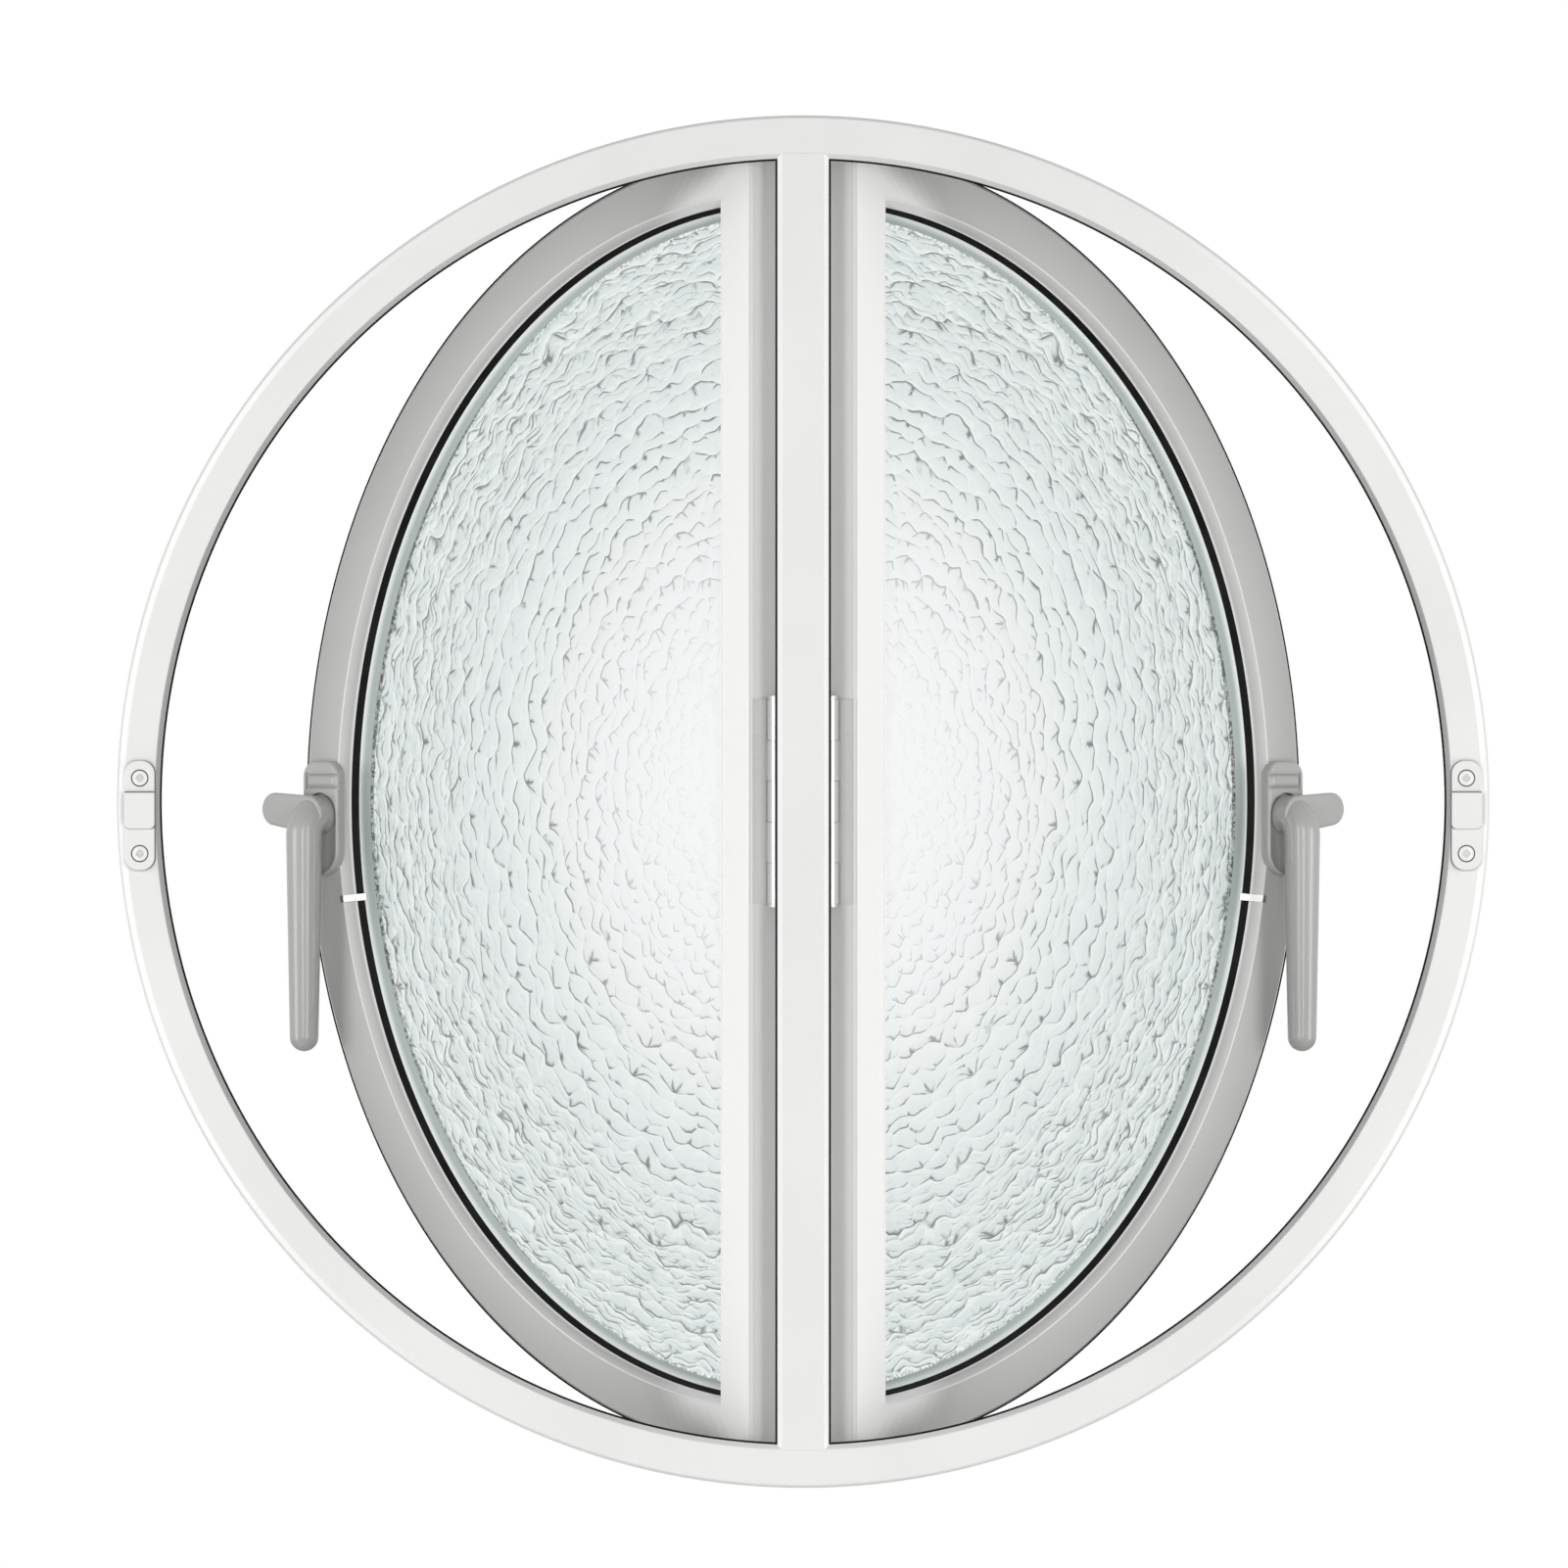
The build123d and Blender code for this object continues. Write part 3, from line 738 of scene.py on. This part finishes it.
# The screw paint's dark end paints the countersink's shadow and the shade in the head's middle.
SCREW_PAINT_WITH_PAINTED_SHADE = paint_with_painted_light(
    "screw_paint", white=(0.84, 0.84, 0.83), painted_shade_colour=(0.05, 0.05, 0.05), roughness=0.3, coat=0.25
)
CLIP_STEEL = metal("clip_steel", dark=(0.36, 0.36, 0.35), light=(0.52, 0.52, 0.51), roughness=0.3)
# The margin's darker colour is painted shade, deepening away from the gasket.
MARGIN_WITH_PAINTED_SHADE = paint_with_painted_light(
    "pane_margin", white=(0.80, 0.86, 0.845), painted_shade_colour=(0.42, 0.48, 0.465), roughness=0.3, coat=0.3
)
GLASS = hammered_glass("hammered_glass")
FLOOR_PAINT = paint("floor_paint", dark=(0.70, 0.70, 0.69), light=(0.74, 0.74, 0.73), roughness=0.6, coat=0)

# Finishes of the pieces that keep the shapes of their solids
NODE_MATERIALS = {
    "hinge_frame_leaf": HINGE_FINISH,
    "hinge_sash_leaf": HINGE_FINISH,
    "hinge_pin": HINGE_FINISH,
    "handle_backplate": HANDLE_PAINT,
    "handle_lever": HANDLE_PAINT,
    "glazing_clip": CLIP_STEEL,
}


def ring_painted_light(point):
    """The painted light of the ring: painted shade deepest on its lip at the sides, and a painted highlight
    in a band beside its rim there.
    """
    if point.y >= LIP_BACK_Y:
        return FACE_SHADE
    radius = math.hypot(point.x, point.z)
    sideways = abs(point.x) / radius
    band = FLANGE_RADIUS - RIM_BAND
    edge = FLANGE_RADIUS - FLANGE_ROUNDING
    in_highlight_band = smooth_step(radius, band - SOFT_EDGE, band + SOFT_EDGE)
    in_highlight_band *= smooth_step(radius, edge + LIP_EDGE, edge)
    # The band beside the rim at the sides is a painted highlight, and the lip gets painted shade.
    face = FACE_SHADE * (1 - in_highlight_band * smooth_step(sideways, *BAND_SIDEWAYS))
    on_lip = smooth_step(LIP_RADIUS + LIP_BEVEL - radius, -LIP_EDGE, LIP_EDGE)
    return face + on_lip * (LIP_SHADE + (SIDE_LIP_SHADE - LIP_SHADE) * sideways - face)


def ring():
    """The ring frame, turned from its section."""
    section = [
        (FLANGE_RADIUS, 0),
        (BODY_RADIUS, 0),
        (BODY_RADIUS, FRAME_BACK_Y),
        (REBATE_RADIUS, FRAME_BACK_Y),
        (REBATE_RADIUS, LIP_BACK_Y),
        (LIP_RADIUS, LIP_BACK_Y),
        (LIP_RADIUS, FRONT_Y + LIP_BEVEL),
        (LIP_RADIUS + LIP_BEVEL, FRONT_Y),
        (FLANGE_RADIUS - RIM_BAND, FRONT_Y),
        (FLANGE_RADIUS - FLANGE_ROUNDING, FRONT_Y),
        (FLANGE_RADIUS, FRONT_Y + FLANGE_ROUNDING),
    ]
    turns = [2 * math.pi * i / RING_STEPS for i in range(RING_STEPS)]
    rows = []
    for radius, y in rounded(section, SOFT_EDGE):
        rows.append([(radius * math.cos(a), y, radius * math.sin(a)) for a in turns])
    add_piece("ring_frame", shaded(skin(rows), ring_painted_light), FRAME_PAINT_WITH_PAINTED_LIGHT, "frame_paint", "outer_frame")


def ring_inside(y):
    """The radius of the ring's inside at a depth."""
    if y > LIP_BACK_Y:
        return REBATE_RADIUS
    return LIP_RADIUS + max(0, FRONT_Y + LIP_BEVEL - y)


def post_painted_highlight(point):
    """The painted light of the mullion: its own white on its faces, and a painted highlight on its bevels
    to the room.
    """
    if point.y >= FRONT_Y + MULLION_BEVEL:
        return FACE_SHADE
    # The bevels are whitened as a painted highlight.
    highlight_on_bevel = smooth_step(abs(point.x), MULLION_FACE_X - LIP_EDGE, MULLION_FACE_X + LIP_EDGE)
    return FACE_SHADE * (1 - highlight_on_bevel)


def centre_post():
    """The mullion, its ends fitted to the inside of the ring."""
    groove = MULLION_GROOVE_WIDTH / 2
    half = [
        (MULLION_FACE_X, FRONT_Y),
        (MULLION_SIDE_X, FRONT_Y + MULLION_BEVEL),
        (MULLION_SIDE_X, LIP_BACK_Y),
        (MULLION_SIDE_X, MULLION_BACK_Y),
        (groove, MULLION_BACK_Y),
        (groove, MULLION_BACK_Y - MULLION_GROOVE_DEPTH),
    ]
    section = rounded(half + [(-x, y) for x, y in reversed(half)], SOFT_EDGE)
    bm = bmesh.new()
    ends = []
    for sign in (-1, 1):
        points = [(x, y, sign * math.sqrt(ring_inside(y) ** 2 - x**2)) for x, y in section]
        ends.append([bm.verts.new(p) for p in points])
    add_piece("centre_post", shaded(capped(bm, ends), post_painted_highlight), FRAME_PAINT_WITH_PAINTED_LIGHT, "frame_paint", "mullion")


def frame_seals():
    """The black seals round the frame's two openings."""
    lap = LIP_DEPTH + SEAL_LAP_THICKNESS
    start = LIP_DEPTH - SEAL_DEPTH
    section = [
        (0, 0, start),
        (0, 0, LIP_DEPTH),
        (-SEAL_OVERLAP, 0, LIP_DEPTH),
        (-SEAL_OVERLAP, 0, lap),
        (SEAL_THICKNESS, SEAL_THICKNESS, lap),
        (SEAL_THICKNESS, SEAL_THICKNESS, start),
    ]
    for side in SIDES:
        bm = half_round(rounded(section, RUBBER_EDGE), LIP_RADIUS, MULLION_SIDE_X, FRONT_Y)
        add_piece(f"{side}_seal", placed(bm, side, False), RUBBER, "black_rubber", f"{side}_frame_seal")


def sash_inset(point):
    """How far a place of the closed sash lies in from the sash's rim."""
    return SASH_RADIUS - math.hypot(point.x, point.z)


def arc_painted_shade(point):
    """The painted shade at a place of the closed sash: none along the stile, full on the arc."""
    line = ARC_SHADE_START + ARC_SHADE_SLANT * sash_inset(point)
    return smooth_step(point.x, line - ARC_SHADE_FADE, line + ARC_SHADE_FADE)


def face_painted_shade(point):
    """The painted shade of the sash frame: on its face to the room, easing inwards, and on the chamfer and
    side of its stile.
    """
    depth = point.y - SASH_FACE_Y
    if point.x < STILE_SIDE_X + STILE_SIDE_REACH:
        # The stile's chamfer gets painted shade, its side nearly none.
        on_chamfer = smooth_step(depth, SASH_CHAMFER + CHAMFER_FADE, SASH_CHAMFER)
        return STILE_SIDE_SHADE + (CHAMFER_SHADE - STILE_SIDE_SHADE) * on_chamfer
    inward_easing = 1 - INWARD_SHADE_EASING * sash_inset(point) / SASH_FACE_WIDTH
    # The painted shade fades out towards the back, which keeps the sash's own white there.
    return arc_painted_shade(point) * inward_easing * smooth_step(OUTER_LIP_FRONT - depth, 0, SASH_FACE_WIDTH / 2)


def sash_frames():
    """The half-round sash frames."""
    section = [
        (SASH_CHAMFER, STILE_TRIM + SASH_CHAMFER, 0),
        (0, STILE_TRIM, SASH_CHAMFER),
        (0, STILE_TRIM, SASH_THICKNESS),
        (OUTER_LIP_INSET - OUTER_LIP_SLOPE, OUTER_LIP_INSET - OUTER_LIP_SLOPE, SASH_THICKNESS),
        (OUTER_LIP_INSET, OUTER_LIP_INSET, OUTER_LIP_FRONT),
        (SASH_FACE_WIDTH, SASH_FACE_WIDTH, OUTER_LIP_FRONT),
        (SASH_FACE_WIDTH, SASH_FACE_WIDTH, 0),
    ]
    for side in SIDES:
        bm = shaded(sash_section(rounded(section, SOFT_EDGE)), face_painted_shade)
        add_piece(f"{side}_sash", placed(bm, side, True), SASH_PAINT_WITH_PAINTED_LIGHT, "sash_paint", f"{side}_sash_frame")


def bead_painted_light(point):
    """The painted light of the glazing bead: painted shade on its slope, and painted highlights on its
    ridge and at its edge by the glass.
    """
    inset = sash_inset(point)
    past_ridge = smooth_step(inset, RIDGE_INSET, RIDGE_INSET + RIDGE_RISE / 2)
    at_edge = smooth_step(inset, BEAD_EDGE_INSET, BEAD_INSET - RIDGE_RISE / 2)
    # A low shade on the ridge and at the edge paints highlight lines, and the slope gets painted shade.
    shade = RIDGE_SHADE + (BEAD_SHADE - RIDGE_SHADE) * past_ridge
    shade += (BEAD_EDGE_SHADE - BEAD_SHADE) * at_edge
    return shade * arc_painted_shade(point)


def beads():
    """The sloped glazing beads, with a thin ridge along the sash's face."""
    section = flat(
        [
            (SASH_FACE_WIDTH, -RIDGE_RISE),
            (SASH_FACE_WIDTH, BEAD_DEPTH),
            (BEAD_INSET, BEAD_DEPTH),
            (BEAD_INSET, BEAD_SLOPE_DEPTH),
            (BEAD_EDGE_INSET, BEAD_SLOPE_DEPTH * (1 - BEAD_EDGE_SHARE)),
            (RIDGE_INSET, 0),
            (RIDGE_INSET, -RIDGE_RISE),
        ]
    )
    for side in SIDES:
        bm = shaded(sash_section(rounded(section, RIDGE_RISE / 2)), bead_painted_light)
        add_piece(f"{side}_bead", placed(bm, side, True), SASH_PAINT_WITH_PAINTED_LIGHT, "sash_paint", f"{side}_glazing_bead")


def gaskets():
    """The black gasket on the room's side of each pane, and the white tape behind it."""
    lap = BEAD_INSET - GASKET_LAP
    inner = [
        (lap, BEAD_DEPTH),
        (BEAD_INSET, BEAD_DEPTH),
        (BEAD_INSET, BEAD_SLOPE_DEPTH),
        (GASKET_INSET, GLASS_FRONT),
        (lap, GLASS_FRONT),
    ]
    outer = [
        (GLASS_INSET, GLASS_BACK),
        (GLASS_INSET, OUTER_LIP_FRONT),
        (OUTER_LIP_INSET, OUTER_LIP_FRONT),
        (OUTER_LIP_INSET, GLASS_BACK),
    ]
    strips = (
        ("inner_gasket", inner, RUBBER, "black_rubber"),
        ("outer_gasket", outer, TAPE, "glazing_tape"),
    )
    for side in SIDES:
        for name, section, material, slot in strips:
            bm = placed(sash_section(rounded(flat(section), RUBBER_EDGE)), side, True)
            add_piece(f"{side}_{name}_strip", bm, material, slot, f"{side}_{name}")


def arc_strip(section, edge_inset, taper):
    """A bmesh of a strip of (inset, depth) points along the sash's arc, narrowed by a taper to its ends."""
    bm = bmesh.new()
    rows = []
    start = section[0][0]
    for i in range(ARC_STEPS + 1):
        share = 2 * i / ARC_STEPS - 1
        row = []
        for inset, depth in section:
            radius = SASH_RADIUS - start - (inset - start) * (1 - taper * share**2)
            angle = math.acos((STILE_ORIGIN_X + edge_inset) / radius) * share
            place = (radius * math.cos(angle), SASH_FACE_Y + depth, radius * math.sin(angle))
            row.append(bm.verts.new(place))
        rows.append(row)
    return capped(bm, rows)


def round_section(inset, depth, radius):
    """The section of a round strip about an (inset, depth) point."""
    turns = [2 * math.pi * i / STRIP_TURNS for i in range(STRIP_TURNS)]
    return [(inset + radius * math.cos(a), depth + radius * math.sin(a)) for a in turns]


def margin_section():
    """The thin section of the pane's margin, with points across it to carry its painted shade."""
    insets = [GASKET_INSET + MARGIN_WIDTH * i / MARGIN_STEPS for i in range(MARGIN_STEPS + 1)]
    on_glass = [(inset, GLASS_FRONT) for inset in insets]
    return on_glass + [(inset, GLASS_FRONT - MARGIN_RISE) for inset in reversed(insets)]


def margin_painted_shade(point):
    """The painted shade of the pane's margin, deeper away from the gasket."""
    return smooth_step(sash_inset(point), GASKET_INSET, GASKET_INSET + MARGIN_FADE)


def arc_strips():
    """The dark seal in the chamfer of each sash's rim, which is also a painted shade line, a white sealing
    strip, which is also a painted highlight line by the gasket, and a pale margin with painted shade along
    its pane.
    """
    rim_seal_and_shade_line = round_section(RIM_SEAL_AND_SHADE_LINE_INSET, RIM_SEAL_AND_SHADE_LINE_INSET, RIM_SEAL_AND_SHADE_LINE_RADIUS)
    sealant_and_highlight_line = round_section(GASKET_INSET, GLASS_FRONT, SEALANT_AND_HIGHLIGHT_RADIUS)
    for side in SIDES:
        # The black rim seal is a seal and also a painted shade line along the rim.
        bm = arc_strip(rim_seal_and_shade_line, STILE_TRIM + SASH_CHAMFER, 0)
        add_piece(f"{side}_rim_seal_and_shade_line", placed(bm, side, True), RUBBER, "black_rubber")
        # The white sealing strip is sealant and also a painted highlight line by the gasket.
        bm = arc_strip(sealant_and_highlight_line, GASKET_INSET, 0)
        add_piece(f"{side}_sealant", placed(bm, side, True), TAPE, "glazing_tape")
        bm = shaded(arc_strip(margin_section(), GASKET_INSET, MARGIN_TAPER), margin_painted_shade)
        add_piece(f"{side}_pane_margin", placed(bm, side, True), MARGIN_WITH_PAINTED_SHADE, "glazing_tape")


def dent(x, z):
    """How far the hammered back of a pane lies in at a place of the closed sash."""
    return DIMPLE_DEPTH * (0.5 + 0.5 * pattern.noise(Vector((x, z, 0)) / DIMPLE))


def pane_back():
    """Rows of points on the hammered back of the closed right pane, from its bottom to its top."""
    edge = STILE_ORIGIN_X + GLASS_INSET
    rim = SASH_RADIUS - GLASS_INSET
    top = math.sqrt(rim**2 - edge**2) - PANE_TIP
    rows = []
    for i in range(PANE_ROWS + 1):
        z = top * (2 * i / PANE_ROWS - 1)
        reach = math.sqrt(rim**2 - z**2) - edge
        across = [edge + reach * k / PANE_COLUMNS for k in range(PANE_COLUMNS + 1)]
        rows.append([(x, SASH_FACE_Y + GLASS_BACK - dent(x, z), z) for x in across])
    return rows


def pane():
    """A bmesh of the closed right pane: flat to the room and hammered at the back."""
    bm = bmesh.new()
    place = bm.verts.layers.float_vector.new("pane")
    relief = bm.verts.layers.float.new("relief")
    grid = [[bm.verts.new(p) for p in row] for row in pane_back()]
    for low, high in zip(grid, grid[1:]):
        for k in range(PANE_COLUMNS):
            bm.faces.new((low[k], low[k + 1], high[k + 1], high[k]))
    for vert in bm.verts:
        vert[relief] = 1
    rim_side = [row[-1] for row in grid[1:-1]]
    stile_side = [row[0] for row in reversed(grid[1:-1])]
    border = grid[0] + rim_side + grid[-1][::-1] + stile_side
    front = [bm.verts.new((vert.co.x, SASH_FACE_Y + GLASS_FRONT, vert.co.z)) for vert in border]
    bm.faces.new(front)
    bridge(bm, [border, front])
    for vert in bm.verts:
        vert[place] = (vert.co.x, vert.co.z, 0)
    return bm


def panes():
    """The glass panes."""
    for side in SIDES:
        add_piece(f"{side}_pane", placed(pane(), side, True), GLASS, "obscure_glass", f"{side}_glass")


def plate_outline(top, bottom, corners, inset):
    """Points round an upright rounded plate that is drawn in by an inset, with their outward directions."""
    points = []
    for quarter, (x, z) in enumerate(STRIKE_QUARTERS):
        corner = corners[0] if z > 0 else corners[1]
        centre_x = x * (STRIKE_WIDTH / 2 - corner)
        centre_z = (top if z > 0 else bottom) - z * corner
        reach = corner - inset
        for i in range(CORNER_STEPS + 1):
            turn = math.pi / 2 * (quarter + i / CORNER_STEPS)
            out = (math.cos(turn), math.sin(turn))
            points.append((centre_x + reach * out[0], centre_z + reach * out[1], out))
    return points


def raised_plate(top, bottom, corners, face, top_shade):
    """A bmesh of a plate on the ring with softened edges that carry painted shade, deepest on the side
    towards the window's middle; face gives its rise over the ring at a height.
    """
    bm = bmesh.new()
    layer = bm.verts.layers.float.new("shade")
    steps = [(0, 0)]
    for i in range(ROUND_STEPS + 1):
        turn = math.pi / 2 * i / ROUND_STEPS
        steps.append((STRIKE_ROUNDING * (1 - math.cos(turn)), STRIKE_ROUNDING * (math.sin(turn) - 1)))
    rows = []
    for index, (inset, drop) in enumerate(steps):
        at_edge = index < len(steps) - 1
        row = []
        for x, z, out in plate_outline(top, bottom, corners, inset):
            rise = face(z) + drop if index else 0
            vert = bm.verts.new((x, FRONT_Y - rise, z))
            # Edges get painted shade, deepest where they face the window's middle and along the top of the
            # wedge.
            edge_shade_level = top_shade if out[1] > 0 else EDGE_SHADE
            vert[layer] = at_edge * max(math.sqrt(max(0, -out[0])), edge_shade_level * abs(out[1]))
            row.append(vert)
        rows.append(row)
    return capped(bm, rows)


def wedge_rise(z):
    """Height of the strike's wedge over the ring, falling from its top to its bottom."""
    share = (z - WEDGE_BOTTOM) / (WEDGE_TOP - WEDGE_BOTTOM)
    return STRIKE_THICKNESS + WEDGE_LOW_RISE + share * (WEDGE_RISE - WEDGE_LOW_RISE)


def plate_rise(_):
    """Height of the strike's flat plate over the ring."""
    return STRIKE_THICKNESS


def screw_rise(x, z):
    """Height of a screw head over its seat: domed, with a cross recess."""
    share = math.hypot(x, z) / SCREW_RADIUS
    if share > SCREW_SHADOW_RING_START:
        return SCREW_SHADOW_RING_RISE
    dome = SCREW_RISE * math.sqrt(max(SCREW_DOME_END, 1 - share**4))
    in_slot = min(abs(x), abs(z)) < SCREW_SLOT and max(abs(x), abs(z)) < SCREW_SLOT_REACH
    return dome - (SCREW_SLOT_DEPTH if in_slot else 0)


def screw_head(centre):
    """A bmesh of a cross-recessed screw head that faces the room, with a dark flat ring round it that
    paints the shadow of its countersink, and painted shade on its middle.
    """
    bm = bmesh.new()
    layer = bm.verts.layers.float.new("shade")
    middle = bm.verts.new(centre - Vector((0, screw_rise(0, 0), 0)))
    middle[layer] = SLOT_SHADE
    rows = []
    for share in (*SCREW_ROWS, 1 + SCREW_SHADOW_RING / SCREW_RADIUS):
        row = []
        for i in range(SCREW_TURNS):
            turn = 2 * math.pi * i / SCREW_TURNS
            x = SCREW_RADIUS * share * math.cos(turn)
            z = SCREW_RADIUS * share * math.sin(turn)
            vert = bm.verts.new(centre + Vector((x, -screw_rise(x, z), z)))
            # The outer ring is a painted shadow, and the middle gets painted shade.
            vert[layer] = 1 if share > RING_SHADE_START else SLOT_SHADE * (share < SLOT_SHADE_END)
            row.append(vert)
        rows.append(row)
    for k in range(SCREW_TURNS):
        bm.faces.new((middle, rows[0][k], rows[0][(k + 1) % SCREW_TURNS]))
    bridge(bm, rows)
    bm.faces.new(rows[-1])
    return bm


def strikes():
    """The strike plates on the ring, each with its wedge and two screws."""
    place = Vector((STRIKE_X, 0, 0))
    plate_corners = (STRIKE_CORNER, STRIKE_CORNER)
    wedge_corners = (WEDGE_TOP_CORNER, WEDGE_CORNER)
    for side in SIDES:
        plate = raised_plate(STRIKE_TOP, STRIKE_BOTTOM, plate_corners, plate_rise, EDGE_SHADE)
        wedge = raised_plate(WEDGE_TOP, WEDGE_BOTTOM, wedge_corners, wedge_rise, WEDGE_TOP_SHADE)
        for name, bm in (("strike", plate), ("strike_wedge", wedge)):
            bmesh.ops.translate(bm, verts=bm.verts, vec=place)
            bm = placed(bm, side, False)
            add_piece(f"{side}_{name}", bm, STRIKE_PAINT_WITH_PAINTED_SHADE, "frame_paint", f"{side}_strike_plate")
        for index, z in enumerate(SCREW_HEIGHTS):
            bm = screw_head(place + Vector((0, FRONT_Y - STRIKE_THICKNESS, z)))
            name = f"{side}_strike_screw_{index + 1}"
            add_piece(name, placed(bm, side, False), SCREW_PAINT_WITH_PAINTED_SHADE, "clip_steel")


def dress_nodes():
    """Gives the pieces that keep the shapes of their solids their finishes."""
    for name, material in NODE_MATERIALS.items():
        for side in SIDES:
            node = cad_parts[f"{side}_{name}"]
            node.data.materials.clear()
            node.data.materials.append(material)


def photo_camera():
    """A camera straight in front that shows no perspective."""
    pixel = PICTURE_WIDTH / PHOTO_SIZE
    camera = bpy.data.objects.new("camera", bpy.data.cameras.new("camera"))
    bpy.context.scene.collection.objects.link(camera)
    camera.data.type = "ORTHO"
    camera.data.ortho_scale = PICTURE_WIDTH
    camera.data.clip_end = CAMERA_REACH
    camera.location = (
        (PHOTO_SIZE / 2 - CENTRE_PIXEL[0]) * pixel,
        FRONT_Y - CAMERA_DISTANCE,
        (CENTRE_PIXEL[1] - PHOTO_SIZE / 2) * pixel,
    )
    camera.rotation_euler = (math.pi / 2, 0, 0)
    bpy.context.scene.camera = camera


def surroundings():
    """White all round, which shows at full strength and lights the window at less."""
    world = bpy.data.worlds.new("studio")
    world.use_nodes = True
    tree = world.node_tree
    ambient = tree.nodes["Background"]
    white = tree.nodes.new("ShaderNodeBackground")
    for background, strength in ((ambient, AMBIENT), (white, 1)):
        background.inputs["Color"].default_value = (1, 1, 1, 1)
        background.inputs["Strength"].default_value = strength
    path = tree.nodes.new("ShaderNodeLightPath")
    seen = math_node(tree, "MAXIMUM", path.outputs["Is Camera Ray"], path.outputs["Is Glossy Ray"])
    seen = math_node(tree, "MAXIMUM", seen, path.outputs["Is Transmission Ray"])
    mix = tree.nodes.new("ShaderNodeMixShader")
    tree.links.new(seen, mix.inputs["Fac"])
    tree.links.new(ambient.outputs[0], mix.inputs[1])
    tree.links.new(white.outputs[0], mix.inputs[2])
    tree.links.new(mix.outputs[0], tree.nodes["World Output"].inputs["Surface"])
    bpy.context.scene.world = world


def area_light(name, place, size, power):
    """A soft box that points at the window."""
    lamp = bpy.data.lights.new(name, "AREA")
    lamp.shape = "RECTANGLE"
    lamp.size, lamp.size_y = size
    lamp.energy = power
    light = bpy.data.objects.new(name, lamp)
    light.location = place
    light.rotation_euler = (Vector(BOX_TARGET) - Vector(place)).to_track_quat("-Z", "Y").to_euler()
    light.visible_camera = False
    bpy.context.scene.collection.objects.link(light)


def soft_boxes():
    """Two soft boxes on each side, at the window's height."""
    boxes = (
        ("front_box", FRONT_BOX_PLACE, FRONT_BOX_SIZE, FRONT_BOX_POWER),
        ("box", SIDE_BOX_PLACE, SIDE_BOX_SIZE, SIDE_BOX_POWER),
    )
    for side, sign in SIDES.items():
        for name, (x, y), size, power in boxes:
            area_light(f"{side}_{name}", (sign * x, y, 0), size, power)


def studio_floor():
    """The pale floor, at the height of a room's floor under a window."""
    bm = bmesh.new()
    bmesh.ops.create_grid(bm, x_segments=2, y_segments=2, size=FLOOR_SIZE / 2)
    bmesh.ops.translate(bm, verts=bm.verts, vec=(0, 0, FLOOR_HEIGHT))
    floor = bpy.data.objects.new("floor", smooth_mesh("floor", bm))
    floor.data.materials.append(FLOOR_PAINT)
    bpy.context.scene.collection.objects.link(floor)


ring()
centre_post()
frame_seals()
sash_frames()
beads()
gaskets()
arc_strips()
panes()
strikes()
dress_nodes()
photo_camera()
surroundings()
soft_boxes()
studio_floor()
bpy.context.scene.view_settings.view_transform = "Standard"
